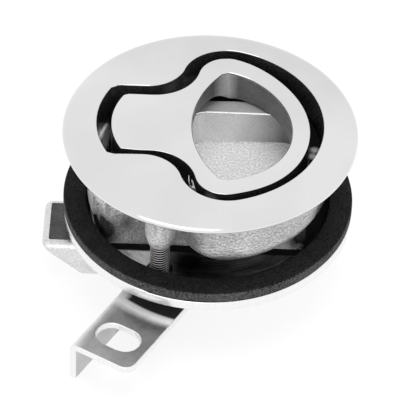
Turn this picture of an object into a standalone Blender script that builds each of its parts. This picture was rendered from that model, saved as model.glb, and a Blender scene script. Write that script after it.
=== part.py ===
"""Flush pull slam latch for a 64 mm panel cut-out.

A pear-shaped ring handle lies flush in a domed round bezel. It turns on a
pin in the neck of the housing, and its tail draws a spring-loaded bolt in.
A ring plate below, with a rubber gasket on it and two screws up into the
housing, clamps the panel. The strike is a folded plate for the frame.

The origin is the centre of the bezel's seat on the panel. +Z points out of
the panel, the bolt points to -X, and the handle lifts at its +X end.
"""
import math

import bmesh
import bpy
from mathutils import Matrix, Vector

MM = 0.001

# Fits
SEAT = 0.3 * MM             # between pieces that bear on each other
WASHER_SEAT = 0.2 * MM      # between the washers, the ring and the screw heads
SLIDE = 0.3 * MM            # around the sliding bolt

# Handle, a pear-shaped ring
HANDLE_TOP = 3.6 * MM       # height of its flat face above the panel seat
HANDLE_DEPTH = 9.0 * MM      # of the ring
NECK_PLATE = 3.6 * MM       # thickness of the neck between the ring and the knuckle
NECK_PLATE_RIGHT = -4.2 * MM
NECK_SLOPE_RIGHT = 4.8 * MM # where the ring reaches its full depth
NECK_PLATE_LEFT = -13.0 * MM
NECK_SLOPE_LEFT = -15.5 * MM
PEAR_CENTRE = -0.8 * MM     # centre of the ring's big arc along X
HANDLE_HALF_WIDTH = 26.0 * MM
HANDLE_BOW = 0.5 * MM       # ring's big radius over its half width
HANDLE_SHOULDER_R = 7.6 * MM
HANDLE_FILLET_R = 12.0 * MM
HANDLE_NECK = 10.9 * MM     # half width of the neck
HANDLE_END = 25.6 * MM      # from the origin to the neck's round end
HANDLE_END_R = 20.7 * MM
HANDLE_END_CORNER = 1.8 * MM
HANDLE_EDGE = 0.7 * MM      # rounding of the upper edges

# Finger hole, a lens between two arcs
LENS_RIGHT_WALL = 5.3 * MM  # ring's big radius over the hole's
LENS_RIGHT_CENTRE = -0.4 * MM
LENS_LEFT_R = 31.5 * MM
LENS_LEFT_EDGE = -4.5 * MM
LENS_APEX_R = 1.6 * MM
LENS_EDGE = 0.8 * MM        # rounding of the hole's upper edge

# Handle hinge and tail
PIVOT_FROM_END = 4.1 * MM
PIVOT_DROP = 6.2 * MM       # below the handle's flat face
PIN_R = 2.0 * MM
PIN_PLAY = 0.25 * MM
PIN_EDGE = 0.3 * MM
LIFT_ANGLE = math.radians(28)
TAIL_LENGTH = 19.5 * MM     # from the pin to the middle of the round tip
TAIL_TIP_R = 2.4 * MM
TAIL_HALF_WIDTH = 4.0 * MM
TAIL_ROOT_HALF = 3.4 * MM

# Housing: bezel, pocket and body
FLANGE = 7.9 * MM           # bezel's radius over the opening's
RIM_R = 1.0 * MM            # rolled edge of the bezel
DOME_RISE = 3.6 * MM        # from the rim's widest line to the crown
DOME_POWER = 6.0
RING_GAP = 3.7 * MM         # slot around the handle's ring
SHOULDER_GAP = 3.4 * MM
SHOULDER_EXTRA = 2.4 * MM   # pocket's shoulder radius over the handle's
NECK_GAP = 2.5 * MM
END_GAP = 3.6 * MM
END_FLATTER = 5.6 * MM      # pocket's end radius over the handle's
OPENING_CHAMFER = 0.5 * MM
BODY_WALL = 2.0 * MM
POCKET_WALL = 1.7 * MM
BODY_FILLET = 4.0 * MM

# Finger well below the handle, the land around it and the troughs beside that
WELL_HALF_WIDTH = 15.2 * MM
WELL_LEFT = -5.2 * MM
WELL_CORNER_R = 4.0 * MM
WELL_FLOOR = -15.3 * MM
WELL_DRAFT = 0.8 * MM
WELL_EDGE = 0.5 * MM
WELL_WALL = 1.8 * MM
LAND_WIDTH = 5.2 * MM
LAND_EDGE = 1.0 * MM
TROUGH_BASE = 5.0 * MM      # thickness below the troughs
TROUGH_LEFT = -3.0 * MM
TROUGH_INSET = 1.0 * MM

# Case below the pocket, which passes through the ring plate
CASE_FLAT = 4.7 * MM        # cut off the round case at its right end
CASE_END_WALL = 2.1 * MM    # between the well and that flat end
CASE_WALL = 2.2 * MM
CASE_FLOOR = 0.7 * MM
END_LIP = 1.4 * MM          # out of the case's round left end
END_LIP_INSET = 4.0 * MM    # from the case's sides
END_LIP_DROP = 2.0 * MM     # below the body

# Bolt and its channel
BOLT_TIP = -43.5 * MM
BOLT_REAR = -4.0 * MM
BOLT_HALF_WIDTH = 9.1 * MM
BOLT_RING_GAP = 5.7 * MM    # below the ring, which hangs loose
BOLT_HEIGHT = 11.0 * MM
BOLT_NOSE = 0.9 * MM        # height of the tip above the ramp
BOLT_RAMP = 11.6 * MM       # length of the ramp along X
BOLT_CORNER_R = 2.6 * MM    # of the tip, seen from above
BOLT_EDGE = 2.0 * MM        # rounding of the upper edges
BOLT_LOW_EDGE = 0.9 * MM
LUG_THICK = 3.0 * MM
LUG_HALF_WIDTH = 5.5 * MM
LUG_TOP_GAP = 0.5 * MM      # below the pocket's underside
CHANNEL_ROOF = 2.0 * MM
CHANNEL_END_WALL = 3.2 * MM

# Bolt springs
SPRING_COIL_R = 2.6 * MM
SPRING_WIRE_R = 0.4 * MM
SPRING_TURNS = 10
SPRING_Y = 4.6 * MM
SPRING_LENGTH = 28.6 * MM
SPRING_HOLE_DEPTH = 8.0 * MM
SPRING_PLAY = 0.5 * MM

# Cover below the bolt
COVER_THICK = 1.2 * MM
COVER_SCREW_R = 1.0 * MM
COVER_SCREW_LENGTH = 6.0 * MM
COVER_SCREW_EDGE = 0.4 * MM     # chamfer of its tip
COVER_HEAD_R = 1.5 * MM
COVER_HEAD_DEPTH = 0.8 * MM
COVER_HEAD_SUNK = 0.1 * MM
COVER_HEAD_PLAY = 0.1 * MM
COVER_HEAD_WALL = 0.2 * MM      # from the countersink to the cover's edge
COVER_RECESS_HALF = 0.2 * MM    # half width of the cross recess
COVER_RECESS_R = 0.9 * MM
COVER_RECESS_DEPTH = 0.5 * MM
COVER_SCREW_INSET = 2.6 * MM
COVER_SCREW_TURN = math.radians(20)

# Pan head's outline as shares of its radius and height
PAN_CURVE = [(1.0, 0.5), (0.93, 0.25), (0.75, 0.07), (0.5, 0.0)]

# Clamp ring, gasket and screws
GASKET_DROP = 3.6 * MM      # below the body
GASKET_THICK = 2.9 * MM
GASKET_INSET = 0.2 * MM     # inside the bezel's edge
GASKET_CASE_GAP = 1.7 * MM
GASKET_EDGE = 0.35 * MM
RING_THICK = 3.1 * MM
RING_INSET = 0.2 * MM       # inside the gasket's edge
RING_BORE_GAP = 0.8 * MM    # around the case's round ends
RING_EDGE = 0.4 * MM
RING_CASE_GAP = 1.5 * MM    # beside the case's flat sides
RING_END_GAP = 0.4 * MM
SCREW_X = -11.8 * MM
SCREW_INSET = 1.75 * MM     # from the case's radius to the screws' circle
SCREW_R = 2.5 * MM
SCREW_LENGTH = 25.0 * MM
SCREW_TIP_EDGE = 0.6 * MM
SCREW_HEAD_SHOULDER = 2.1 * MM  # head's radius over the screw's
SCREW_HEAD_H = 2.6 * MM
SCREW_HOLE_PLAY = 0.9 * MM
SCREW_TURN = math.radians(15)
RECESS_R = 2.2 * MM
RECESS_HALF = 0.5 * MM
RECESS_DEPTH = 1.4 * MM
BOSS_WALL = 1.4 * MM
BOSS_TIP_WALL = 0.6 * MM
BOSS_RISE = 2.4 * MM        # its lower end above the body's
BOSS_TAPER = 3.4 * MM
BOSS_EDGE = 0.9 * MM        # height of its rounded lower edge
BOSS_WEB = 2.2 * MM
BOSS_DEPTH_PLAY = 1.5 * MM
WASHER_R = 5.0 * MM
WASHER_THICK = 1.0 * MM
WASHER_PLAY = 0.3 * MM
WASHER_EDGE = 0.12 * MM
SPRING_WASHER_R = 4.3 * MM
SPRING_WASHER_THICK = 1.1 * MM
SPRING_WASHER_SLOT = 0.8 * MM
SPRING_WASHER_TURN = math.radians(40)

# Strike, a folded plate
STRIKE_LENGTH = 36.3 * MM
STRIKE_WIDTH = 18.2 * MM
STRIKE_HEAD_GAP = 0.9 * MM  # below the clamp screw's head
STRIKE_THICK = 1.9 * MM
STRIKE_INNER_R = 0.6 * MM   # inside the fold
STRIKE_TURN = math.radians(59.8)
STRIKE_TOUCH = 5.8 * MM     # where its corner meets the channel's side, from the channel's left end
STRIKE_CORNER_R = 3.0 * MM
SLOT_WIDTH = 7.8 * MM
SLOT_FROM_END = 8.6 * MM
SLOT_TO_EDGE = 2.9 * MM
SLOT_TO_FOLD = 3.3 * MM

# Facets
BEZEL_POINTS = 96           # around the bezel, the ring and the gasket
SMALL_POINTS = 32           # around pins and screws
ARC_POINTS = 16             # along an outline's main arc
BEND_POINTS = 8             # along its shoulders and rounded points
CORNER_POINTS = 4           # along its small corners
EDGE_POINTS = 4             # down a rounded edge
TINY_POINTS = 16            # around the cover's screws
WIRE_POINTS = 12            # along one turn of a spring

# Worked out from the sizes above
HANDLE_BOTTOM = HANDLE_TOP - HANDLE_DEPTH
HANDLE_BIG_R = HANDLE_HALF_WIDTH + HANDLE_BOW
LENS_RIGHT_R = HANDLE_BIG_R - LENS_RIGHT_WALL
PIVOT_X = PIVOT_FROM_END - HANDLE_END
PIVOT_Z = HANDLE_TOP - PIVOT_DROP
BOLT_TRAVEL = TAIL_LENGTH * math.sin(LIFT_ANGLE)

POCKET_R = HANDLE_BIG_R + RING_GAP
POCKET_HALF_WIDTH = HANDLE_HALF_WIDTH + SHOULDER_GAP
POCKET_LEDGE = HANDLE_BOTTOM - SEAT
BEZEL_R = POCKET_R + FLANGE
DOME_TOP = RIM_R + DOME_RISE
BODY_TOP = RIM_R / 2
BODY_BOTTOM = WELL_FLOOR - POCKET_WALL
LAND_HALF_WIDTH = WELL_HALF_WIDTH + LAND_WIDTH
TROUGH_FLOOR = BODY_BOTTOM + TROUGH_BASE

CASE_R = POCKET_R
CASE_HALF = HANDLE_NECK + NECK_GAP + BODY_WALL
CASE_RIGHT = CASE_R - CASE_FLAT
WELL_RIGHT = CASE_RIGHT - CASE_END_WALL
END_LIP_R = CASE_R + END_LIP
END_LIP_HALF = CASE_HALF - END_LIP_INSET
END_LIP_BOTTOM = BODY_BOTTOM - END_LIP_DROP

GASKET_TOP = BODY_BOTTOM - GASKET_DROP
GASKET_R = BEZEL_R - GASKET_INSET
GASKET_BORE = CASE_R + GASKET_CASE_GAP
RING_TOP = GASKET_TOP - GASKET_THICK - SEAT
RING_BOTTOM = RING_TOP - RING_THICK
RING_R = GASKET_R - RING_INSET
RING_BORE = CASE_R + RING_BORE_GAP
SCREW_Y = math.sqrt((CASE_R - SCREW_INSET) ** 2 - SCREW_X ** 2)
SCREW_HEAD_R = SCREW_R + SCREW_HEAD_SHOULDER
SCREW_HOLE_R = SCREW_R + SCREW_HOLE_PLAY
BOSS_R = SCREW_R + BOSS_WALL
BOSS_TIP_R = SCREW_R + BOSS_TIP_WALL
BOSS_BOTTOM = BODY_BOTTOM + BOSS_RISE
WASHER_BORE = SCREW_R + WASHER_PLAY
WASHER_TOP = RING_BOTTOM - WASHER_SEAT
SPRING_WASHER_TOP = WASHER_TOP - WASHER_THICK - WASHER_SEAT
SCREW_HEAD_TOP = SPRING_WASHER_TOP - SPRING_WASHER_THICK - WASHER_SEAT
SCREW_FACE = SCREW_HEAD_TOP - SCREW_HEAD_H

BOLT_TOP = RING_BOTTOM - BOLT_RING_GAP
BOLT_BOTTOM = BOLT_TOP - BOLT_HEIGHT
BOLT_MIDDLE = (BOLT_TOP + BOLT_BOTTOM) / 2
CHANNEL_TOP = BOLT_TOP + SLIDE
CHANNEL_HALF = BOLT_HALF_WIDTH + SLIDE
CHANNEL_LEFT = PIVOT_X
CHANNEL_WALL = 2 * (COVER_HEAD_R + COVER_HEAD_PLAY + COVER_HEAD_WALL)
KEEL_HALF = CHANNEL_HALF + CHANNEL_WALL
CASE_INSIDE = CHANNEL_TOP + CHANNEL_ROOF
CASE_BOTTOM = CASE_INSIDE - CASE_FLOOR
LUG_LEFT = PIVOT_X + TAIL_TIP_R + SEAT
LUG_TOP = BODY_BOTTOM - LUG_TOP_GAP
SPRING_HOLE_R = SPRING_COIL_R + SPRING_WIRE_R + SPRING_PLAY
SPRING_LEFT = BOLT_REAR - SPRING_HOLE_DEPTH + SEAT
SPRING_RIGHT = SPRING_LEFT + SPRING_LENGTH
CHANNEL_RIGHT = SPRING_RIGHT + SEAT
KEEL_RIGHT = CHANNEL_RIGHT + CHANNEL_END_WALL
COVER_TOP = BOLT_BOTTOM - SLIDE
COVER_BOTTOM = COVER_TOP - COVER_THICK

STRIKE_TOP = SCREW_FACE - STRIKE_HEAD_GAP
STRIKE_BEND_R = STRIKE_THICK + STRIKE_INNER_R
SLOT_LENGTH = STRIKE_WIDTH - SLOT_TO_EDGE - SLOT_TO_FOLD
SLOT_FROM_FOLD = SLOT_TO_FOLD + SLOT_LENGTH / 2


def clear_scene():
    """Remove every object of the open scene."""
    for obj in list(bpy.data.objects):
        bpy.data.objects.remove(obj, do_unlink=True)


def make_collection(name):
    group = bpy.data.collections.new(name)
    bpy.context.scene.collection.children.link(group)
    return group


def make_material(name, colour, roughness, metallic):
    mat = bpy.data.materials.new(name)
    mat.use_nodes = True
    shader = mat.node_tree.nodes["Principled BSDF"]
    shader.inputs["Base Color"].default_value = (*colour, 1.0)
    shader.inputs["Roughness"].default_value = roughness
    shader.inputs["Metallic"].default_value = metallic
    return mat


class Shop:
    """The collections that parts and cutters go to."""

    def __init__(self, name):
        self.parts = make_collection(name)
        self.cutters = make_collection(name + " cutters")

    def add(self, name, mesh, cutter=False):
        obj = bpy.data.objects.new(name, mesh)
        (self.cutters if cutter else self.parts).objects.link(obj)
        if cutter:
            obj.hide_render = True
            obj.display_type = "WIRE"
        return obj


def finish(obj, material):
    obj.data.materials.clear()
    obj.data.materials.append(material)
    obj.data.shade_smooth()
    obj.data.set_sharp_from_angle(angle=math.radians(30))
    return obj


def move_origin(obj, point):
    """Put the object's origin at a point and leave its shape where it is."""
    obj.data.transform(Matrix.Translation(-Vector(point)))
    obj.location = point


# Outlines


def arc(centre, radius, start, end, count=ARC_POINTS):
    """Points along an arc in so many steps, both ends included."""
    angles = [start + (end - start) * i / count for i in range(count + 1)]
    return [(centre[0] + radius * math.cos(a), centre[1] + radius * math.sin(a)) for a in angles]


def mirrored(upper):
    """Close an outline whose upper half runs from the +X end to the -X end."""
    lower = [(x, -y) for x, y in reversed(upper) if abs(y) > 1e-7]
    return upper + lower


def pear(centre_x, big_r, half_width, shoulder_r, fillet_r, neck, end, end_r, corner_r):
    """A ring's big arc, two shoulders, two hollow fillets, a neck and its round end."""
    shoulder_y = half_width - shoulder_r
    reach = big_r - shoulder_r
    shoulder_x = centre_x + math.sqrt(reach ** 2 - shoulder_y ** 2)
    meet = math.atan2(shoulder_y, shoulder_x - centre_x)
    fillet_y = neck + fillet_r
    rise = fillet_y - shoulder_y
    fillet_x = shoulder_x - math.sqrt((shoulder_r + fillet_r) ** 2 - rise ** 2)
    turn = math.atan2(rise, fillet_x - shoulder_x) % (2 * math.pi)
    corner_y = neck - corner_r
    end_centre = end_r - end
    corner_x = end_centre - math.sqrt((end_r - corner_r) ** 2 - corner_y ** 2)
    corner_turn = math.atan2(corner_y, corner_x - end_centre)
    points = arc((centre_x, 0), big_r, 0, meet)
    points += arc((shoulder_x, shoulder_y), shoulder_r, meet, turn, BEND_POINTS)[1:]
    points += arc((fillet_x, fillet_y), fillet_r, turn - math.pi, -math.pi / 2, BEND_POINTS)[1:]
    points += arc((corner_x, corner_y), corner_r, math.pi / 2, corner_turn, CORNER_POINTS)
    points += arc((end_centre, 0), end_r, corner_turn, math.pi, CORNER_POINTS)[1:]
    return mirrored(points)


def handle_outline(inward=0.0):
    """The handle seen from above, or the same drawn in for its rounded edge."""
    return pear(PEAR_CENTRE, HANDLE_BIG_R - inward, HANDLE_HALF_WIDTH - inward,
                HANDLE_SHOULDER_R - inward, HANDLE_FILLET_R + inward, HANDLE_NECK - inward,
                HANDLE_END - inward, HANDLE_END_R - inward, HANDLE_END_CORNER - inward)


def pocket_outline(grow=0.0):
    """The bezel's opening around the handle, or the same grown by a wall."""
    return pear(PEAR_CENTRE, POCKET_R + grow, POCKET_HALF_WIDTH + grow,
                HANDLE_SHOULDER_R + SHOULDER_EXTRA + grow, HANDLE_FILLET_R - grow,
                HANDLE_NECK + NECK_GAP + grow, HANDLE_END + END_GAP + grow,
                HANDLE_END_R + END_FLATTER + grow, HANDLE_END_CORNER + grow)


def lens_outline(grow=0.0):
    """The finger hole: two arcs that meet in rounded points."""
    left_centre = LENS_LEFT_EDGE + LENS_LEFT_R
    right = LENS_RIGHT_R - LENS_APEX_R
    left = LENS_LEFT_R - LENS_APEX_R
    apex_r = LENS_APEX_R + grow
    span = left_centre - LENS_RIGHT_CENTRE
    apex_x = LENS_RIGHT_CENTRE + (right ** 2 - left ** 2 + span ** 2) / (2 * span)
    apex_y = math.sqrt(right ** 2 - (apex_x - LENS_RIGHT_CENTRE) ** 2)
    from_right = math.atan2(apex_y, apex_x - LENS_RIGHT_CENTRE)
    from_left = math.atan2(apex_y, apex_x - left_centre)
    points = arc((LENS_RIGHT_CENTRE, 0), right + apex_r, 0, from_right)
    points += arc((apex_x, apex_y), apex_r, from_right, from_left, BEND_POINTS)[1:]
    points += arc((left_centre, 0), left + apex_r, from_left, math.pi)[1:]
    return mirrored(points)


def cut_circle(radius, half_width, right):
    """A circle's outline between two lines along X, cut off by a line across it at the right."""
    low = math.asin(half_width / radius)
    corner = math.sqrt(radius ** 2 - right ** 2)
    points = [(right, 0.0)]
    if corner < half_width:
        points += arc((0, 0), radius, math.atan2(corner, right), low, CORNER_POINTS)
    else:
        points.append((right, half_width))
    points += arc((0, 0), radius, math.pi - low, math.pi, BEND_POINTS)
    return mirrored(points)


# Solids


def loft(levels):
    """A closed solid through like outlines, given as pairs of height and points, top first."""
    bm = bmesh.new()
    rows = [[bm.verts.new((x, y, z)) for x, y in outline] for z, outline in levels]
    bm.faces.new(rows[0])
    bm.faces.new(list(reversed(rows[-1])))
    for upper, lower in zip(rows, rows[1:]):
        for i in range(len(upper)):
            j = (i + 1) % len(upper)
            bm.faces.new((upper[j], upper[i], lower[i], lower[j]))
    return to_mesh(bm)


def prism(outline, top, bottom):
    """A closed solid with one outline, in X and Y, between two heights."""
    return loft([(top, outline), (bottom, outline)])


def to_mesh(bm):
    bmesh.ops.recalc_face_normals(bm, faces=bm.faces)
    mesh = bpy.data.meshes.new("shape")
    bm.to_mesh(mesh)
    bm.free()
    return mesh


def turned(profile, steps):
    """A turned solid: the profile runs down the outer side, about Z, from axis to axis."""
    mesh = bpy.data.meshes.new("profile")
    edges = [(i, i + 1) for i in range(len(profile) - 1)]
    mesh.from_pydata([(x, 0.0, z) for x, z in profile], edges, [])
    obj = bpy.data.objects.new("profile", mesh)
    bpy.context.scene.collection.objects.link(obj)
    screw = obj.modifiers.new("turn", "SCREW")
    screw.steps = steps
    screw.render_steps = steps
    screw.use_merge_vertices = True
    screw.merge_threshold = 1e-6
    return bake(obj)


def bake(obj):
    """The object's evaluated mesh in world space; the object itself is removed."""
    graph = bpy.context.evaluated_depsgraph_get()
    mesh = bpy.data.meshes.new_from_object(obj.evaluated_get(graph))
    mesh.transform(obj.matrix_world)
    bpy.data.objects.remove(obj, do_unlink=True)
    bm = bmesh.new()
    bm.from_mesh(mesh)
    bmesh.ops.remove_doubles(bm, verts=bm.verts, dist=1e-6)
    bmesh.ops.recalc_face_normals(bm, faces=bm.faces)
    bm.to_mesh(mesh)
    bm.free()
    return mesh


def rod(radius, top, bottom, tip_radius=None, steps=SMALL_POINTS):
    """A round bar or cone along Z."""
    bm = bmesh.new()
    lower = radius if tip_radius is None else tip_radius
    bmesh.ops.create_cone(bm, cap_ends=True, segments=steps, radius1=lower, radius2=radius,
                          depth=top - bottom)
    bmesh.ops.translate(bm, verts=bm.verts, vec=(0, 0, (top + bottom) / 2))
    return to_mesh(bm)


def block(low, high):
    """A box between two corners."""
    bm = bmesh.new()
    bmesh.ops.create_cube(bm, size=1.0)
    size = Vector(high) - Vector(low)
    bmesh.ops.scale(bm, verts=bm.verts, vec=size)
    bmesh.ops.translate(bm, verts=bm.verts, vec=(Vector(high) + Vector(low)) / 2)
    return to_mesh(bm)


def placed(mesh, matrix):
    mesh.transform(matrix)
    return mesh


def boolean(shop, obj, tool, operation):
    """Join a mesh to the object, or cut it away, and keep the result as plain mesh."""
    other = shop.add("tool", tool, cutter=True)
    step = obj.modifiers.new("step", "BOOLEAN")
    step.operation = operation
    step.solver = "EXACT"
    step.object = other
    graph = bpy.context.evaluated_depsgraph_get()
    mesh = bpy.data.meshes.new_from_object(obj.evaluated_get(graph))
    obj.modifiers.clear()
    obj.data = mesh
    bpy.data.objects.remove(other, do_unlink=True)


def join(shop, obj, tool):
    boolean(shop, obj, tool, "UNION")


def cut(shop, obj, tool):
    boolean(shop, obj, tool, "DIFFERENCE")


def along_y(mesh, x, z):
    """Turn a mesh that lies along Z to lie along Y, and put its axis at x and z."""
    return placed(mesh, Matrix.Translation((x, 0, z)) @ Matrix.Rotation(math.pi / 2, 4, "X"))


# Pieces


def dome_height(radius):
    """Height of the bezel's polished face at a radius."""
    share = min(radius / BEZEL_R, 1.0)
    return RIM_R + DOME_RISE * math.sqrt(1.0 - share ** DOME_POWER)


def bezel_profile():
    radii = [0.0, 0.35, 0.6, 0.72, 0.8, 0.86, 0.91, 0.95, 0.975, 0.99, 0.998, 1.0]
    profile = [(r * BEZEL_R, dome_height(r * BEZEL_R)) for r in radii]
    rim = [math.pi / 2 * i / EDGE_POINTS for i in range(1, EDGE_POINTS + 1)]
    profile += [(BEZEL_R - RIM_R + RIM_R * math.cos(a), RIM_R - RIM_R * math.sin(a)) for a in rim]
    profile.append((0.0, 0.0))
    return profile


def make_housing(shop, steel):
    """One casting: domed bezel, pear body, case through the ring and bolt channel."""
    obj = shop.add("housing", turned(bezel_profile(), BEZEL_POINTS))
    curve = BODY_BOTTOM + BODY_FILLET
    body = [(BODY_TOP, pocket_outline(BODY_WALL)), (curve, pocket_outline(BODY_WALL))]
    for i in range(1, EDGE_POINTS + 2):
        a = math.pi / 2 * i / (EDGE_POINTS + 1)
        inward = BODY_FILLET * (1 - math.cos(a))
        body.append((curve - BODY_FILLET * math.sin(a), pocket_outline(BODY_WALL - inward)))
    join(shop, obj, loft(body))
    join(shop, obj, prism(cut_circle(CASE_R, CASE_HALF, CASE_RIGHT), BODY_TOP, CASE_BOTTOM))
    lip = cut_circle(END_LIP_R, END_LIP_HALF, CHANNEL_LEFT)
    join(shop, obj, prism(lip, BODY_TOP, END_LIP_BOTTOM))
    join(shop, obj, block((CHANNEL_LEFT, -KEEL_HALF, BOLT_BOTTOM),
                          (KEEL_RIGHT, KEEL_HALF, CASE_BOTTOM + CASE_WALL / 2)))
    for side in (-1, 1):
        join(shop, obj, boss(side))
    cut_pocket(shop, obj)
    cut_case(shop, obj)
    cut_holes(shop, obj)
    return finish(obj, steel)


def boss(side):
    """A screw boss: a round post with a rounded lower end on a web from the neck."""
    levels = [(BODY_TOP, BOSS_R), (BOSS_BOTTOM + BOSS_TAPER, BOSS_R)]
    for i in range(EDGE_POINTS + 1):
        a = math.pi / 2 * i / EDGE_POINTS
        inward = BOSS_EDGE / 2 * (1 - math.cos(a))
        levels.append((BOSS_BOTTOM + BOSS_EDGE * (1 - math.sin(a)), BOSS_TIP_R - inward))
    root = CASE_HALF - BODY_WALL / 2
    outlines = []
    for z, radius in levels:
        web = min(BOSS_WEB, radius * 0.8)
        open_angle = math.asin(web / radius)
        post = arc((0, SCREW_Y), radius, -math.pi / 2 + open_angle, 1.5 * math.pi - open_angle)
        flat = post + [(-web * 1.5, root), (web * 1.5, root)]
        outlines.append((z, [(SCREW_X + x, side * y) for x, y in flat]))
    return loft(outlines)


def rounded_box(left, right, half, corner):
    """A rectangle's outline with four rounded corners."""
    x = right - corner
    points = [(right, 0.0)] + arc((x, half - corner), corner, 0, math.pi / 2, CORNER_POINTS)
    x = left + corner
    points += arc((x, half - corner), corner, math.pi / 2, math.pi, CORNER_POINTS) + [(left, 0.0)]
    return mirrored(points)


def edge_levels(top, edge):
    """Heights and outward steps down the rounded upper edge of an opening."""
    turns = [math.radians(90 * i / EDGE_POINTS) for i in range(EDGE_POINTS + 1)]
    return [(top - edge * (1 - math.cos(a)), edge * (1 - math.sin(a))) for a in turns]


def cut_pocket(shop, obj):
    """The pear opening with its chamfer, the land under the handle and the finger well."""
    above = DOME_TOP + OPENING_CHAMFER
    opening = [(above, pocket_outline(OPENING_CHAMFER)), (DOME_TOP - OPENING_CHAMFER, pocket_outline()),
               (POCKET_LEDGE, pocket_outline())]
    cut(shop, obj, loft(opening))
    well = [(POCKET_LEDGE + SEAT, well_outline(WELL_EDGE))]
    well += [(z, well_outline(out)) for z, out in edge_levels(POCKET_LEDGE, WELL_EDGE)]
    well += [(WELL_FLOOR + WELL_EDGE, well_outline(-WELL_DRAFT)),
             (WELL_FLOOR, well_outline(-WELL_DRAFT - WELL_EDGE))]
    cut(shop, obj, loft(well))
    for side in (-1, 1):
        trough = []
        for z, out in [(POCKET_LEDGE + SEAT, LAND_EDGE)] + edge_levels(POCKET_LEDGE, LAND_EDGE):
            trough.append((z, trough_outline(side, LAND_HALF_WIDTH - out)))
        trough.append((TROUGH_FLOOR, trough_outline(side, LAND_HALF_WIDTH)))
        cut(shop, obj, loft(trough))


def well_outline(grow):
    return rounded_box(WELL_LEFT - grow, WELL_RIGHT + grow, WELL_HALF_WIDTH + grow, WELL_CORNER_R + grow)


def trough_outline(side, start):
    """The part of the pear opening beyond the land, on one side."""
    reach = POCKET_R
    far = POCKET_HALF_WIDTH - TROUGH_INSET
    bend = LAND_HALF_WIDTH + LAND_EDGE
    right = PEAR_CENTRE + math.sqrt(reach ** 2 - bend ** 2) - TROUGH_INSET * 3
    left = TROUGH_LEFT
    slant = far - bend
    outline = [(right, start), (right, bend), (right - slant * 1.5, far), (left + slant * 0.6, far),
               (left, bend), (left, start)]
    return [(x, side * y) for x, y in outline]


def cut_case(shop, obj):
    """The hollow case under the neck and the well, and the bolt's channel below it."""
    inner_half = HANDLE_NECK + NECK_GAP
    neck = cut_circle(CASE_R - CASE_WALL, inner_half, WELL_LEFT - WELL_WALL)
    cut(shop, obj, prism(neck, POCKET_LEDGE + SEAT, CASE_INSIDE))
    hollow = cut_circle(CASE_R - CASE_WALL, inner_half, CASE_RIGHT - CASE_WALL)
    cut(shop, obj, prism(hollow, BODY_BOTTOM, CASE_INSIDE))
    slot_left = LUG_LEFT - SLIDE * 2
    slot_right = LUG_LEFT + LUG_THICK + BOLT_TRAVEL + SLIDE * 2
    slot_half = LUG_HALF_WIDTH + SLIDE
    cut(shop, obj, block((slot_left, -slot_half, CHANNEL_TOP - SEAT),
                         (slot_right, slot_half, CASE_INSIDE + SEAT)))
    cut(shop, obj, block((CHANNEL_LEFT - BODY_WALL, -CHANNEL_HALF, BOLT_BOTTOM - BODY_WALL),
                         (CHANNEL_RIGHT, CHANNEL_HALF, CHANNEL_TOP)))


def cut_holes(shop, obj):
    """Holes for the pivot pin, the clamp screws and the cover's screws."""
    reach = CASE_HALF + SEAT
    cut(shop, obj, along_y(rod(PIN_R + PIN_PLAY, reach, -reach), PIVOT_X, PIVOT_Z))
    depth = SCREW_HEAD_TOP + SCREW_LENGTH + BOSS_DEPTH_PLAY
    for side in (-1, 1):
        hole = rod(SCREW_R + PIN_PLAY, depth, BOSS_BOTTOM - BODY_WALL)
        cut(shop, obj, placed(hole, Matrix.Translation((SCREW_X, side * SCREW_Y, 0))))
    tip = COVER_BOTTOM + COVER_SCREW_LENGTH + BOSS_DEPTH_PLAY
    for x, y in cover_screw_places():
        hole = rod(COVER_SCREW_R + PIN_PLAY, tip, BOLT_BOTTOM - BODY_WALL, steps=TINY_POINTS)
        cut(shop, obj, placed(hole, Matrix.Translation((x, y, 0))))


def cover_screw_places():
    y = CHANNEL_HALF + CHANNEL_WALL / 2
    return [(x, side * y) for x in (CHANNEL_LEFT + COVER_SCREW_INSET, KEEL_RIGHT - COVER_SCREW_INSET)
            for side in (-1, 1)]


def rounded_levels(outline_at, top, bottom, edge):
    """Levels of a loft whose upper edge is rounded; outline_at gives the outline drawn in."""
    levels = []
    for z, inward in edge_levels(top, edge):
        levels.append((z, outline_at(inward)))
    levels.append((bottom, outline_at(0.0)))
    return levels


def make_handle(shop, steel):
    """A pear-shaped ring with a finger hole, a knuckle on the pin and a tail below it."""
    levels = rounded_levels(handle_outline, HANDLE_TOP, HANDLE_BOTTOM, HANDLE_EDGE)
    obj = shop.add("pull_handle", loft(levels))
    hole = [(HANDLE_TOP + LENS_EDGE, lens_outline(LENS_EDGE))]
    hole += [(z, lens_outline(out)) for z, out in edge_levels(HANDLE_TOP, LENS_EDGE)]
    hole.append((HANDLE_BOTTOM - SEAT, lens_outline()))
    cut(shop, obj, loft(hole))
    plate = HANDLE_TOP - NECK_PLATE
    below = [(NECK_SLOPE_RIGHT, HANDLE_BOTTOM), (NECK_SLOPE_RIGHT, HANDLE_BOTTOM - SEAT),
             (NECK_SLOPE_LEFT, HANDLE_BOTTOM - SEAT), (NECK_SLOPE_LEFT, HANDLE_BOTTOM),
             (NECK_PLATE_LEFT, plate), (NECK_PLATE_RIGHT, plate)]
    cut(shop, obj, side_prism(below, HANDLE_BIG_R * 2))
    join(shop, obj, tail())
    cut(shop, obj, along_y(rod(PIN_R + PIN_PLAY, HANDLE_NECK * 2, -HANDLE_NECK * 2), PIVOT_X, PIVOT_Z))
    move_origin(obj, (PIVOT_X, 0, PIVOT_Z))
    return finish(obj, steel)


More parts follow.
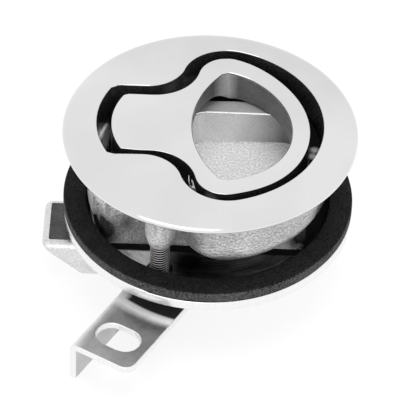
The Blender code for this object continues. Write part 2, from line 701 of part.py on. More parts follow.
def tail():
    """A blade that narrows to a round tip, drawn in X and Z and as thick as the tail is wide."""
    tip = PIVOT_Z - TAIL_LENGTH
    root = HANDLE_BOTTOM + HANDLE_EDGE
    side = [(PIVOT_X + TAIL_ROOT_HALF, root)]
    side += arc((PIVOT_X, tip), TAIL_TIP_R, 0, -math.pi, BEND_POINTS)
    side += [(PIVOT_X - TAIL_ROOT_HALF, root)]
    return side_prism(side, TAIL_HALF_WIDTH)


def side_prism(outline, half):
    """A prism whose outline is drawn in X and Z, as wide as half each way along Y."""
    return placed(prism(outline, half, -half), Matrix.Rotation(math.pi / 2, 4, "X"))


def make_pin(shop, steel):
    """The handle's axle, held in the two walls of the neck."""
    end = CASE_HALF - SEAT
    edge = PIN_EDGE
    profile = [(0, end), (PIN_R - edge, end), (PIN_R, end - edge), (PIN_R, edge - end),
               (PIN_R - edge, -end), (0, -end)]
    obj = shop.add("pivot_pin", along_y(turned(profile, SMALL_POINTS), PIVOT_X, PIVOT_Z))
    move_origin(obj, (PIVOT_X, 0, PIVOT_Z))
    return finish(obj, steel)


def make_bolt(shop, steel):
    """A slam bolt: ramped tip, rounded edges, a lug for the tail and two spring holes."""
    levels = rounded_levels(bolt_outline, BOLT_TOP, BOLT_BOTTOM + BOLT_LOW_EDGE, BOLT_EDGE)
    levels.append((BOLT_BOTTOM, bolt_outline(BOLT_LOW_EDGE)))
    obj = shop.add("slam_bolt", loft(levels))
    nose = BOLT_TOP - BOLT_NOSE
    slope = (nose - BOLT_BOTTOM) / BOLT_RAMP
    past = BOLT_CORNER_R
    ramp_end = BOLT_TIP + BOLT_RAMP
    below = [(BOLT_TIP - past, nose + past * slope), (ramp_end - past / 2, BOLT_BOTTOM + past / 2 * slope),
             (ramp_end + past / 2, BOLT_BOTTOM), (ramp_end + past / 2, BOLT_BOTTOM - past),
             (BOLT_TIP - past, BOLT_BOTTOM - past)]
    cut(shop, obj, side_prism(below, BOLT_HALF_WIDTH * 2))
    join(shop, obj, block((LUG_LEFT, -LUG_HALF_WIDTH, BOLT_TOP - BOLT_EDGE),
                          (LUG_LEFT + LUG_THICK, LUG_HALF_WIDTH, LUG_TOP)))
    for side_y in (-SPRING_Y, SPRING_Y):
        hole = placed(rod(SPRING_HOLE_R, SPRING_HOLE_DEPTH, -SPRING_HOLE_DEPTH),
                      Matrix.Translation((BOLT_REAR, side_y, BOLT_MIDDLE))
                      @ Matrix.Rotation(math.pi / 2, 4, "Y"))
        cut(shop, obj, hole)
    move_origin(obj, (BOLT_TIP, 0, BOLT_MIDDLE))
    return finish(obj, steel)


def bolt_outline(inward):
    """The bolt seen from above, with a rounded tip and a square rear end."""
    half = BOLT_HALF_WIDTH - inward
    tip = BOLT_TIP + inward
    corner = BOLT_CORNER_R - inward
    upper = [(BOLT_REAR, 0.0), (BOLT_REAR, half)]
    upper += arc((tip + corner, half - corner), corner, math.pi / 2, math.pi, CORNER_POINTS)
    return mirrored(upper + [(tip, 0.0)])


def round_edges(obj, width, segments, chosen):
    """Bevel the edges that the rule picks."""
    bm = bmesh.new()
    bm.from_mesh(obj.data)
    edges = [edge for edge in bm.edges if chosen(edge)]
    bmesh.ops.bevel(bm, geom=edges, offset=width, segments=segments, profile=0.5, affect="EDGES",
                    clamp_overlap=True)
    bm.to_mesh(obj.data)
    bm.free()


def make_spring(shop, name, y, steel):
    """A compression spring along X, from its hole in the bolt to the channel's end wall."""
    count = SPRING_TURNS * WIRE_POINTS
    run = SPRING_LENGTH - 2 * SPRING_WIRE_R
    curve = bpy.data.curves.new(name, "CURVE")
    curve.dimensions = "3D"
    curve.bevel_depth = SPRING_WIRE_R
    curve.bevel_resolution = 1
    curve.use_fill_caps = True
    curve.render_resolution_u = 0
    spline = curve.splines.new("POLY")
    spline.points.add(count)
    for i, point in enumerate(spline.points):
        a = 2 * math.pi * i / WIRE_POINTS
        x = SPRING_LEFT + SPRING_WIRE_R + run * i / count
        point.co = (x, y + SPRING_COIL_R * math.cos(a), BOLT_MIDDLE + SPRING_COIL_R * math.sin(a), 1)
    obj = bpy.data.objects.new(name + " wire", curve)
    bpy.context.scene.collection.objects.link(obj)
    return finish(shop.add(name, bake(obj)), steel)


def make_cover(shop, steel):
    """The plate that closes the bolt's channel, with countersunk holes."""
    obj = shop.add("bolt_cover", block((CHANNEL_LEFT, -KEEL_HALF, COVER_BOTTOM),
                                       (KEEL_RIGHT, KEEL_HALF, COVER_TOP)))
    for x, y in cover_screw_places():
        place = Matrix.Translation((x, y, 0))
        hole = rod(COVER_SCREW_R + PIN_PLAY, COVER_TOP + SEAT, COVER_BOTTOM - SEAT, steps=TINY_POINTS)
        cut(shop, obj, placed(hole, place))
        sink = rod(COVER_SCREW_R + PIN_PLAY, COVER_BOTTOM + COVER_HEAD_DEPTH, COVER_BOTTOM - SEAT / 3,
                   tip_radius=COVER_HEAD_R + COVER_HEAD_PLAY + SEAT / 3, steps=TINY_POINTS)
        cut(shop, obj, placed(sink, place))
    return finish(obj, steel)


def make_cover_screw(shop, name, place, steel):
    """A small countersunk screw, head down, with a cross recess."""
    x, y = place
    face = COVER_BOTTOM + COVER_HEAD_SUNK
    tip = COVER_BOTTOM + COVER_SCREW_LENGTH
    profile = [(0, tip), (COVER_SCREW_R - COVER_SCREW_EDGE, tip), (COVER_SCREW_R, tip - COVER_SCREW_EDGE),
               (COVER_SCREW_R, face + COVER_HEAD_DEPTH), (COVER_HEAD_R, face), (0, face)]
    obj = shop.add(name, turned(profile, TINY_POINTS))
    for turn in (0, math.pi / 2):
        bar = block((-COVER_RECESS_R, -COVER_RECESS_HALF, face - SEAT),
                    (COVER_RECESS_R, COVER_RECESS_HALF, face + COVER_RECESS_DEPTH))
        cut(shop, obj, placed(bar, Matrix.Rotation(turn + COVER_SCREW_TURN, 4, "Z")))
    obj.location = (x, y, 0)
    return finish(obj, steel)


def make_gasket(shop, rubber):
    """A flat rubber ring with slightly eased edges."""
    e = GASKET_EDGE
    top, bottom = GASKET_TOP, GASKET_TOP - GASKET_THICK
    profile = [(GASKET_BORE, top - e), (GASKET_BORE + e, top), (GASKET_R - e, top), (GASKET_R, top - e),
               (GASKET_R, bottom + e), (GASKET_R - e, bottom), (GASKET_BORE + e, bottom),
               (GASKET_BORE, bottom + e), (GASKET_BORE, top - e)]
    return finish(shop.add("gasket", turned(profile, BEZEL_POINTS)), rubber)


def make_ring(shop, steel):
    """The clamp ring: a plate with a long opening for the case and two screw holes."""
    e = RING_EDGE
    top, bottom = RING_TOP, RING_BOTTOM
    profile = [(0, top), (RING_R - e, top), (RING_R, top - e), (RING_R, bottom + e),
               (RING_R - e, bottom), (0, bottom)]
    obj = shop.add("clamp_ring", turned(profile, BEZEL_POINTS))
    opening = cut_circle(RING_BORE, CASE_HALF + RING_CASE_GAP, CASE_RIGHT + RING_END_GAP)
    cut(shop, obj, prism(opening, top + SEAT, bottom - SEAT))
    for side in (-1, 1):
        hole = rod(SCREW_HOLE_R, top + SEAT, bottom - SEAT)
        cut(shop, obj, placed(hole, Matrix.Translation((SCREW_X, side * SCREW_Y, 0))))
    return finish(obj, steel)


def make_screw(shop, name, side, steel):
    """A clamp screw from below: pan head with a cross recess and a chamfered tip."""
    tip = SCREW_HEAD_TOP + SCREW_LENGTH
    face = SCREW_FACE
    profile = [(0, tip), (SCREW_R - SCREW_TIP_EDGE, tip), (SCREW_R, tip - SCREW_TIP_EDGE),
               (SCREW_R, SCREW_HEAD_TOP), (SCREW_HEAD_R, SCREW_HEAD_TOP)]
    profile += [(SCREW_HEAD_R * width, face + SCREW_HEAD_H * height) for width, height in PAN_CURVE]
    profile.append((0, face))
    obj = shop.add(name, turned(profile, SMALL_POINTS))
    for turn in (0, math.pi / 2):
        bar = block((-RECESS_R, -RECESS_HALF, face - SEAT), (RECESS_R, RECESS_HALF, face + RECESS_DEPTH))
        cut(shop, obj, placed(bar, Matrix.Rotation(turn + side * SCREW_TURN, 4, "Z")))
    obj.location = (SCREW_X, side * SCREW_Y, 0)
    return finish(obj, steel)


def make_washer(shop, name, side, outer, top, thick, slot, steel):
    """A washer on a clamp screw; a spring washer has a slanted slot through its ring."""
    e = WASHER_EDGE
    profile = [(WASHER_BORE, top), (outer - e, top), (outer, top - e), (outer, top - thick + e),
               (outer - e, top - thick), (WASHER_BORE, top - thick), (WASHER_BORE, top)]
    obj = shop.add(name, turned(profile, SMALL_POINTS))
    if slot:
        gap = block((0, -slot / 2, top - thick * 2), (outer * 2, slot / 2, top + thick))
        cut(shop, obj, placed(gap, Matrix.Rotation(SPRING_WASHER_TURN, 4, "Z")))
    obj.location = (SCREW_X, side * SCREW_Y, 0)
    return finish(obj, steel)


def make_strike(shop, steel):
    """The folded strike: a slotted leg that lies level and a short leg down to the floor.

    It is drawn along X with its bend on the Y axis side, then turned and set
    with its far corner against the side of the bolt channel.
    """
    top = STRIKE_TOP
    outer, inner = STRIKE_BEND_R, STRIKE_BEND_R - STRIKE_THICK
    bend = (outer, top - outer)
    section = arc(bend, outer, math.pi, math.pi / 2, BEND_POINTS)
    section += [(STRIKE_WIDTH, top), (STRIKE_WIDTH, top - STRIKE_THICK)]
    section += arc(bend, inner, math.pi / 2, math.pi, BEND_POINTS)
    section += [(STRIKE_THICK, COVER_BOTTOM), (0.0, COVER_BOTTOM)]
    mesh = prism(section, STRIKE_LENGTH, 0.0)
    mesh.transform(Matrix(((0, 0, 1, 0), (-1, 0, 0, 0), (0, 1, 0, 0), (0, 0, 0, 1))))
    obj = shop.add("strike", mesh)
    round_edges(obj, STRIKE_CORNER_R, BEND_POINTS, lambda edge: abs(edge.verts[0].co.y + STRIKE_WIDTH) < 1e-6
                and abs(edge.verts[1].co.y + STRIKE_WIDTH) < 1e-6
                and abs(edge.verts[0].co.z - edge.verts[1].co.z) > STRIKE_THICK / 2)
    for x in (SLOT_FROM_END, STRIKE_LENGTH - SLOT_FROM_END):
        cut(shop, obj, placed(slot_cutter(), Matrix.Translation((x, -SLOT_FROM_FOLD, 0))))
    touch = Vector((CHANNEL_LEFT + STRIKE_TOUCH, -KEEL_HALF - SEAT, 0))
    turn = Matrix.Rotation(STRIKE_TURN, 4, "Z")
    corner = turn @ Vector((STRIKE_LENGTH, 0, 0))
    obj.data.transform(Matrix.Translation(touch - corner) @ turn)
    return finish(obj, steel)


def slot_cutter():
    """A slot with round ends, across the strike."""
    radius = SLOT_WIDTH / 2
    half = SLOT_LENGTH / 2 - radius
    ends = arc((0, half), radius, 0, math.pi, BEND_POINTS)
    ends += arc((0, -half), radius, math.pi, 2 * math.pi, BEND_POINTS)
    return prism(ends, STRIKE_TOP + SEAT, STRIKE_TOP - STRIKE_THICK - SEAT)


def main():
    clear_scene()
    shop = Shop("flush pull latch")
    steel = (0.78, 0.78, 0.77)
    polished = make_material("polished_steel", steel, 0.12, 1.0)
    cast = make_material("cast_steel", (0.62, 0.62, 0.61), 0.38, 1.0)
    satin = make_material("satin_steel", (0.55, 0.55, 0.54), 0.3, 1.0)
    spring_steel = make_material("spring_steel", (0.5, 0.5, 0.5), 0.3, 1.0)
    rubber = make_material("black_rubber", (0.02, 0.02, 0.022), 0.7, 0.0)
    make_housing(shop, polished)
    make_handle(shop, polished)
    make_pin(shop, satin)
    make_bolt(shop, cast)
    make_spring(shop, "bolt_spring_front", -SPRING_Y, spring_steel)
    make_spring(shop, "bolt_spring_back", SPRING_Y, spring_steel)
    make_cover(shop, satin)
    for number, place in enumerate(cover_screw_places(), start=1):
        make_cover_screw(shop, "cover_screw_%d" % number, place, satin)
    make_gasket(shop, rubber)
    make_ring(shop, satin)
    for label, side in (("front", -1), ("back", 1)):
        make_screw(shop, "clamp_screw_" + label, side, satin)
        make_washer(shop, "flat_washer_" + label, side, WASHER_R, WASHER_TOP, WASHER_THICK, 0.0, satin)
        make_washer(shop, "spring_washer_" + label, side, SPRING_WASHER_R, SPRING_WASHER_TOP,
                    SPRING_WASHER_THICK, SPRING_WASHER_SLOT, satin)
    make_strike(shop, satin)


main()
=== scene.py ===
import math

import bmesh
import bpy
import numpy as np
from mathutils import Matrix, Vector


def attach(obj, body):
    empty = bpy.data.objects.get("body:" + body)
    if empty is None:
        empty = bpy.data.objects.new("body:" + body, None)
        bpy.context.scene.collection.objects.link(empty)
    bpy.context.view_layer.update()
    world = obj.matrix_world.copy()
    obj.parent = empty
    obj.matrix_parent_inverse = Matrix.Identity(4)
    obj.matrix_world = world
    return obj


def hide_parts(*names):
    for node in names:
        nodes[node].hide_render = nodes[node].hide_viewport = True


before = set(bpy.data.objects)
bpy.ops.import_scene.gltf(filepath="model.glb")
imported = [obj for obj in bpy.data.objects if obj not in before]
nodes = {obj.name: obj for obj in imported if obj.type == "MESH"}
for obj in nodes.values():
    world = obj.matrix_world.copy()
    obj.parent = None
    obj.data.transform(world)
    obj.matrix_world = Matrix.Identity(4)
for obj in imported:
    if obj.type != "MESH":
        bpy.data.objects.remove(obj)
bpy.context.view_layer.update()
mm = 0.001      # the dictionaries hold mm, the meshes metres


# quads between neighbouring rows and columns of a grid of points, joined round where it closes;
# a capped grid gets one flat face over its first row and one over its last
def gridMesh(name, points, closeRows=False, capEnds=False, flip=False):
    rows, cols = points.shape[:2]
    index = np.arange(rows * cols).reshape(rows, cols)
    if closeRows:
        index = np.vstack([index, index[:1]])
    index = np.hstack([index, index[:, :1]])
    quads = np.stack([index[:-1, :-1], index[:-1, 1:], index[1:, 1:], index[1:, :-1]], -1)
    faces = quads.reshape(-1, 4)
    if flip:
        faces = faces[:, ::-1]
    faces = faces.tolist()
    if capEnds:
        faces += [list(range(cols))[::-1], list(range((rows - 1) * cols, rows * cols))]
    mesh = bpy.data.meshes.new(name)
    mesh.from_pydata(points.reshape(-1, 3).tolist(), [], faces)
    mesh.shade_smooth()
    return mesh


# rows of (outline points, height, slot) in mm as one mesh; a strip takes the slot of its later row
def rowMesh(name, rows, closeRows=False):
    points = np.array([np.column_stack([xy, z + 0 * xy[:, 0]]) for xy, z, slot in rows]) * mm
    mesh = gridMesh(name, points, closeRows=closeRows, flip=True)
    later = rows[1:] + rows[:1] if closeRows else rows[1:]
    slots = np.repeat([slot for xy, z, slot in later], points.shape[1])
    mesh.polygons.foreach_set("material_index", slots.astype(np.int32))
    return mesh


# an object at the origin with its materials, riding a body in a slot, in place of some CAD nodes
def addPiece(name, mesh, materials, body, stands=()):
    obj = bpy.data.objects.new(name, mesh)
    bpy.context.scene.collection.objects.link(obj)
    for material in materials:
        mesh.materials.append(material)
    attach(obj, body)
    if stands:
        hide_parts(*stands)
    return obj


# each point's radius and height, carried round the upright axis: (r cos t, r sin t, h)
def turnedPoints(profile, steps):
    turn = np.linspace(0, 2 * math.pi, steps, endpoint=False)
    radius, height = profile[:, :1], profile[:, 1:]
    return np.stack([radius * np.cos(turn), radius * np.sin(turn), height + 0 * turn], -1) * mm


# a closed loop with rounded corners: each corner becomes a parabola between the points one
# radius away along its two sides
def roundedLoop(corners, radius, steps=5):
    corners = np.array(corners, float)
    before = np.roll(corners, 1, 0) - corners
    after = np.roll(corners, -1, 0) - corners
    before /= np.linalg.norm(before, axis=1, keepdims=True)
    after /= np.linalg.norm(after, axis=1, keepdims=True)
    t = np.linspace(0, 1, steps)[None, :, None]
    start, end = (corners + before * radius)[:, None], (corners + after * radius)[:, None]
    bent = start * (1 - t) ** 2 + 2 * corners[:, None] * t * (1 - t) + end * t ** 2
    return bent.reshape(-1, 2)


# points along an arc: centre plus radius times (cos t, sin t), both ends included
def arcPoints(centre, radius, start, end, count):
    turn = np.linspace(start, end, count)
    return np.stack([centre[0] + radius * np.cos(turn), centre[1] + radius * np.sin(turn)], 1)


# the upper half, then the same points with y turned round, without the two on the axis again
def mirrorOutline(upper):
    lower = upper[::-1] * [1, -1]
    return np.vstack([upper, lower[1:-1]])


# points on each arc of the outlines, and on the even copy that rays are cast at
arcSteps = dict(big=70, shoulder=40, fillet=40, corner=16, end=24,
                lensRight=60, lensTip=20, lensLeft=50, even=6000)


# pear: a big arc, a shoulder, a hollow fillet, the neck's corner and its round end, mirrored in y;
# each arc touches the next, so its centre lies at the sum or the difference of their radii
def pearOutline(s, grow=0.0):
    bigR, half = s["bigR"] + grow, s["half"] + grow
    shoulder, fillet = s["shoulder"] + grow, s["fillet"] - grow
    neck, end = s["neck"] + grow, s["end"] + grow
    endR, corner = s["endR"] + grow, s["corner"] + grow
    shoulderY = half - shoulder
    shoulderX = s["centre"] + math.sqrt((bigR - shoulder) ** 2 - shoulderY ** 2)
    meet = math.atan2(shoulderY, shoulderX - s["centre"])
    rise = neck + fillet - shoulderY
    filletX = shoulderX - math.sqrt((shoulder + fillet) ** 2 - rise ** 2)
    turn = math.atan2(rise, filletX - shoulderX)
    endCentre = endR - end
    cornerX = endCentre - math.sqrt((endR - corner) ** 2 - (neck - corner) ** 2)
    cornerTurn = math.atan2(neck - corner, cornerX - endCentre)
    steps = arcSteps
    upper = np.vstack([
        arcPoints((s["centre"], 0), bigR, 0, meet, steps["big"]),
        arcPoints((shoulderX, shoulderY), shoulder, meet, turn, steps["shoulder"])[1:],
        arcPoints((filletX, neck + fillet), fillet, turn - math.pi, -math.pi / 2,
                  steps["fillet"])[1:],
        arcPoints((cornerX, neck - corner), corner, math.pi / 2, cornerTurn, steps["corner"]),
        arcPoints((endCentre, 0), endR, cornerTurn, math.pi, steps["end"])[1:]])
    return mirrorOutline(upper)


# lens: two arcs that meet in a rounded point, mirrored in y; the point's centre is where the two
# arcs cross when both are smaller by the point's radius
def lensOutline(s):
    rightR, leftR = s["rightR"] - s["apex"], s["leftR"] - s["apex"]
    leftCentre = s["leftEdge"] + s["leftR"]
    span = leftCentre - s["rightCentre"]
    apexX = s["rightCentre"] + (rightR ** 2 - leftR ** 2 + span ** 2) / (2 * span)
    apexY = math.sqrt(rightR ** 2 - (apexX - s["rightCentre"]) ** 2)
    fromRight = math.atan2(apexY, apexX - s["rightCentre"])
    fromLeft = math.atan2(apexY, apexX - leftCentre)
    steps = arcSteps
    upper = np.vstack([
        arcPoints((s["rightCentre"], 0), s["rightR"], 0, fromRight, steps["lensRight"]),
        arcPoints((apexX, apexY), s["apex"], fromRight, fromLeft, steps["lensTip"])[1:],
        arcPoints((leftCentre, 0), s["leftR"], fromLeft, math.pi, steps["lensLeft"])[1:]])
    return mirrorOutline(upper)


# polar angles of an outline's points about a centre, from 0 to a full turn
def outlineTurns(outline, centre):
    away = outline - centre
    return np.arctan2(away[:, 1], away[:, 0]) % (2 * math.pi)


# the outline's points and outward normals where rays from the centre at these angles cross it:
# even points by length, tangents between points a few apart, both read off by polar angle
def onOutline(outline, centre, turns, apart=3):
    dense = np.vstack([outline, outline[:1]])
    length = np.concatenate([[0], np.cumsum(np.linalg.norm(np.diff(dense, axis=0), axis=1))])
    along = np.linspace(0, length[-1], arcSteps["even"], endpoint=False)
    fine = np.stack([np.interp(along, length, dense[:, i]) for i in (0, 1)], 1)
    tangent = np.roll(fine, -apart, 0) - np.roll(fine, apart, 0)
    tangent /= np.linalg.norm(tangent, axis=1, keepdims=True)
    normal = np.stack([tangent[:, 1], -tangent[:, 0]], 1)
    at = outlineTurns(fine, centre)
    order = np.argsort(at)
    pick = [np.interp(turns, at[order], a[order], period=2 * math.pi)
            for a in (fine[:, 0], fine[:, 1], normal[:, 0], normal[:, 1])]
    points, normals = np.stack(pick[:2], 1), np.stack(pick[2:], 1)
    return points, normals / np.linalg.norm(normals, axis=1, keepdims=True)


# angles that serve several outlines at once, with those nearer than the least gap left out
def sharedTurns(centre, *outlines, leastGap=0.004):
    turns = np.sort(np.concatenate([outlineTurns(o, centre) for o in outlines]))
    keep = np.concatenate([[True], np.diff(turns) > leastGap])
    return turns[keep]


# which of these places lie inside a closed outline: a ray from them crosses it an odd number
# of times
def inOutline(outline, x, y):
    ends = np.roll(outline, -1, 0)
    y0, y1 = outline[:, 1:2], ends[:, 1:2]
    crossed = (y0 > y) != (y1 > y)
    with np.errstate(divide="ignore", invalid="ignore"):
        at = outline[:, :1] + (y - y0) / (y1 - y0) * (ends[:, :1] - outline[:, :1])
    return (crossed & (x < at)).sum(0) % 2 == 1


# values above the first limit and below the second
def between(values, limits):
    return (values > limits[0]) & (values < limits[1])


# a merged copy of a CAD node's mesh, without the faces that the rule picks; flat faces join when
# they meet at less than the flatten angle (radians)
def mergedCopy(node, drop=None, flatten=0.0, weld=2e-6, sharpDegrees=32):
    mesh = nodes[node].data.copy()
    mesh.materials.clear()
    bm = bmesh.new()
    bm.from_mesh(mesh)
    bmesh.ops.remove_doubles(bm, verts=bm.verts, dist=weld)
    if drop:
        bmesh.ops.delete(bm, geom=[face for face in bm.faces if drop(face)], context="FACES")
    if flatten:
        bmesh.ops.dissolve_limit(bm, angle_limit=flatten, verts=bm.verts, edges=bm.edges)
    bm.to_mesh(mesh)
    bm.free()
    mesh.shade_smooth()
    mesh.set_sharp_from_angle(angle=math.radians(sharpDegrees))
    return mesh


# adds a step to the vertices that a rule over their place (mm) picks
def moveVertices(mesh, rule, step):
    place = np.empty(len(mesh.vertices) * 3)
    mesh.vertices.foreach_get("co", place)
    place = place.reshape(-1, 3)
    place[rule(*(place.T / mm))] += np.array(step) * mm
    mesh.vertices.foreach_set("co", place.ravel())
    mesh.update()


# slot of each face from a rule over its middle (mm) and normal
def pickSlots(mesh, rule):
    count = len(mesh.polygons)
    middle, normal = np.empty(count * 3), np.empty(count * 3)
    mesh.polygons.foreach_get("center", middle)
    mesh.polygons.foreach_get("normal", normal)
    slots = rule(middle.reshape(-1, 3).T / mm, normal.reshape(-1, 3).T)
    mesh.polygons.foreach_set("material_index", slots.astype(np.int32))


# vertex normals weighted by face area, kept apart at sharp edges
def evenNormals(obj, weight=80):
    step = obj.modifiers.new("evenNormals", "WEIGHTED_NORMAL")
    step.keep_sharp = True
    step.weight = weight


# a narrow round along every edge sharper than the ease angle
def easeEdges(obj, s, slot):
    step = obj.modifiers.new("easedEdges", "BEVEL")
    step.width = s["ease"] * mm
    step.segments = s["easeSteps"]
    step.limit_method = "ANGLE"
    step.angle_limit = math.radians(s["easeDegrees"])
    step.material = slot


# materials: a fresh one with its node tree and its shader
def newMaterial(name):
    material = bpy.data.materials.new(name)
    material.use_nodes = True
    tree = material.node_tree
    return material, tree, tree.nodes["Principled BSDF"]


# one value for red, green and blue
def grey(value):
    return (value, value, value, 1.0)


# a line from an output to an input
def link(tree, source, target):
    tree.links.new(source, target)


# a number or a colour goes in as a fixed value, anything else as a link
def feed(tree, value, socket):
    if isinstance(value, (int, float, tuple)):
        socket.default_value = value
    else:
        link(tree, value, socket)


# a node group with named inputs (label, kind, value) and outputs (label, kind)
def newGroup(name, inputs, outputs):
    group = bpy.data.node_groups.new(name, "ShaderNodeTree")
    for label, kind, value in inputs:
        socket = group.interface.new_socket(name=label, in_out="INPUT", socket_type=kind)
        if value is not None:
            socket.default_value = value
    for label, kind in outputs:
        group.interface.new_socket(name=label, in_out="OUTPUT", socket_type=kind)
    return group, group.nodes.new("NodeGroupInput"), group.nodes.new("NodeGroupOutput")


# places a shared group in a material
def addGroup(tree, group):
    node = tree.nodes.new("ShaderNodeGroup")
    node.node_tree = group
    return node


# noise over a place times the scale
def addNoise(tree, vector, scale, detail=2.0, roughness=0.55):
    node = tree.nodes.new("ShaderNodeTexNoise")
    for label, value in (("Vector", vector), ("Scale", scale), ("Detail", detail),
                         ("Roughness", roughness)):
        feed(tree, value, node.inputs[label])
    return node.outputs["Fac"]


# one operation on one or two values
def addMath(tree, operation, first, second=None, clamp=False):
    node = tree.nodes.new("ShaderNodeMath")
    node.operation = operation
    node.use_clamp = clamp
    feed(tree, first, node.inputs[0])
    if second is not None:
        feed(tree, second, node.inputs[1])
    return node.outputs[0]


# a value from low to high becomes toLow to toHigh in a straight line, held at both ends
def addRange(tree, value, low, high, toLow=0.0, toHigh=1.0):
    node = tree.nodes.new("ShaderNodeMapRange")
    for label, number in (("Value", value), ("From Min", low), ("From Max", high),
                          ("To Min", toLow), ("To Max", toHigh)):
        feed(tree, number, node.inputs[label])
    return node.outputs[0]


# dark at factor 0, light at factor 1
def addMix(tree, factor, dark, light):
    node = tree.nodes.new("ShaderNodeMix")
    node.data_type = "RGBA"
    for place, value in ((0, factor), (6, dark), (7, light)):
        feed(tree, value, node.inputs[place])
    return node.outputs[2]


# square root of the sum of two squares
def addHypot(tree, a, b):
    return addMath(tree, "SQRT", addMath(tree, "ADD", addMath(tree, "MULTIPLY", a, a),
                                         addMath(tree, "MULTIPLY", b, b)))


# tilts the normal by the slope of a height
def addBump(tree, height, strength, distance, target):
    node = tree.nodes.new("ShaderNodeBump")
    for label, value in (("Height", height), ("Strength", strength), ("Distance", distance)):
        feed(tree, value, node.inputs[label])
    link(tree, node.outputs["Normal"], target)


# a texture takes a place and gives a fine Grain and a slow Blotch, both from 0 to 1
def newTexture(name, *more):
    return newGroup(name, [("Vector", "NodeSocketVector", None), *more],
                    [("Grain", "NodeSocketFloat"), ("Blotch", "NodeSocketFloat")])


# puts the fine and the slow noise, each stretched between its limits, into the texture's outputs
def endTexture(group, result, s, fine, slow):
    for label, noise, limits in (("Grain", fine, s["grain"]), ("Blotch", slow, s["blotch"])):
        link(group, addRange(group, noise, *limits), result.inputs[label])


# castGrain: sand-cast skin; a fine grain over slower blotches
castGrain = dict(scale=2200.0, detail=3.0, rough=0.6, grain=(0.36, 0.64), slowScale=130.0,
                 blotch=(0.35, 0.65))


def makeCastGrain(s):
    group, given, result = newTexture("castGrain", ("Scale", "NodeSocketFloat", s["scale"]))
    vector = given.outputs["Vector"]
    fine = addNoise(group, vector, given.outputs["Scale"], s["detail"], s["rough"])
    endTexture(group, result, s, fine, addNoise(group, vector, s["slowScale"], s["detail"]))
    return group


# polishMarks: the larger of two stretched noises, as scratches in two directions, and a slow haze
polishMarks = dict(streaks=(((60, 2600, 60), 0.35), ((2200, 90, 60), -0.2)), grain=(0.4, 0.75),
                   slowScale=45.0, blotch=(0.35, 0.65))


def makePolishMarks(s):
    group, given, result = newTexture("polishMarks")
    vector = given.outputs["Vector"]
    streaks = []
    for scale, turn in s["streaks"]:
        mapping = group.nodes.new("ShaderNodeMapping")
        mapping.inputs["Scale"].default_value = scale
        mapping.inputs["Rotation"].default_value = (0, 0, turn)
        link(group, vector, mapping.inputs["Vector"])
        streaks.append(addNoise(group, mapping.outputs["Vector"], 1.0))
    endTexture(group, result, s, addMath(group, "MAXIMUM", *streaks),
               addNoise(group, vector, s["slowScale"]))
    return group


# brushedArcs: streaks that run round the Z axis, from noise over radius and a little of the angle
brushedArcs = dict(perRadius=1500.0, perTurn=1.5, detail=3.0, rough=0.6, grain=(0.35, 0.65),
                   slowScale=200.0, blotch=(0.35, 0.65))


def makeBrushedArcs(s):
    group, given, result = newTexture("brushedArcs")
    vector = given.outputs["Vector"]
    split = group.nodes.new("ShaderNodeSeparateXYZ")
    link(group, vector, split.inputs[0])
    x, y = split.outputs["X"], split.outputs["Y"]
    join = group.nodes.new("ShaderNodeCombineXYZ")
    for label, value, scale in (("X", addHypot(group, x, y), s["perRadius"]),
                                ("Y", addMath(group, "ARCTAN2", y, x), s["perTurn"])):
        link(group, addMath(group, "MULTIPLY", value, scale), join.inputs[label])
    endTexture(group, result, s, addNoise(group, join.outputs[0], 1.0, s["detail"], s["rough"]),
               addNoise(group, vector, s["slowScale"], s["detail"]))
    return group


# openness: how freely a point sees its surroundings; low in gaps and corners
def makeOpenness(reach=0.01, samples=8):
    group, given, result = newGroup("openness", [("Reach", "NodeSocketFloat", reach)],
                                    [("Open", "NodeSocketFloat")])
    node = group.nodes.new("ShaderNodeAmbientOcclusion")
    node.samples = samples
    link(group, given.outputs["Reach"], node.inputs["Distance"])
    link(group, node.outputs["AO"], result.inputs["Open"])
    return group


textures = dict(cast=makeCastGrain(castGrain), polish=makePolishMarks(polishMarks),
                arcs=makeBrushedArcs(brushedArcs))
openness = makeOpenness()


# distance from an upright line through a place, in metres; folded takes y as its size alone
def addDistance(tree, vector, place, folded):
    split = tree.nodes.new("ShaderNodeSeparateXYZ")
    link(tree, vector, split.inputs[0])
    y = addMath(tree, "ABSOLUTE", split.outputs["Y"]) if folded else split.outputs["Y"]
    dx = addMath(tree, "SUBTRACT", split.outputs["X"], place[0] * mm)
    return addHypot(tree, dx, addMath(tree, "SUBTRACT", y, place[1] * mm))


# a vector's product with, or distance from, a fixed vector
def addVectorMath(tree, operation, vector, fixed):
    node = tree.nodes.new("ShaderNodeVectorMath")
    node.operation = operation
    node.inputs[1].default_value = fixed
    link(tree, vector, node.inputs[0])
    return node.outputs["Value"]


# a zone's share: 1 up to the place "full", 0 from the place "none" on, measured in mm as the
# distance from an upright line (round) or a point (ball), or along a direction (along)
def addZone(tree, vector, zone):
    folded = zone.get("folded", False)
    if "round" in zone:
        place = addDistance(tree, vector, zone["round"], folded)
    elif "ball" in zone:
        place = addVectorMath(tree, "DISTANCE", vector, [value * mm for value in zone["ball"]])
    else:
        place = addVectorMath(tree, "DOT_PRODUCT", vector, zone["along"])
        place = addMath(tree, "ABSOLUTE", place) if folded else place
    return addRange(tree, place, zone["full"] * mm, zone["none"] * mm, 1.0, 0.0)


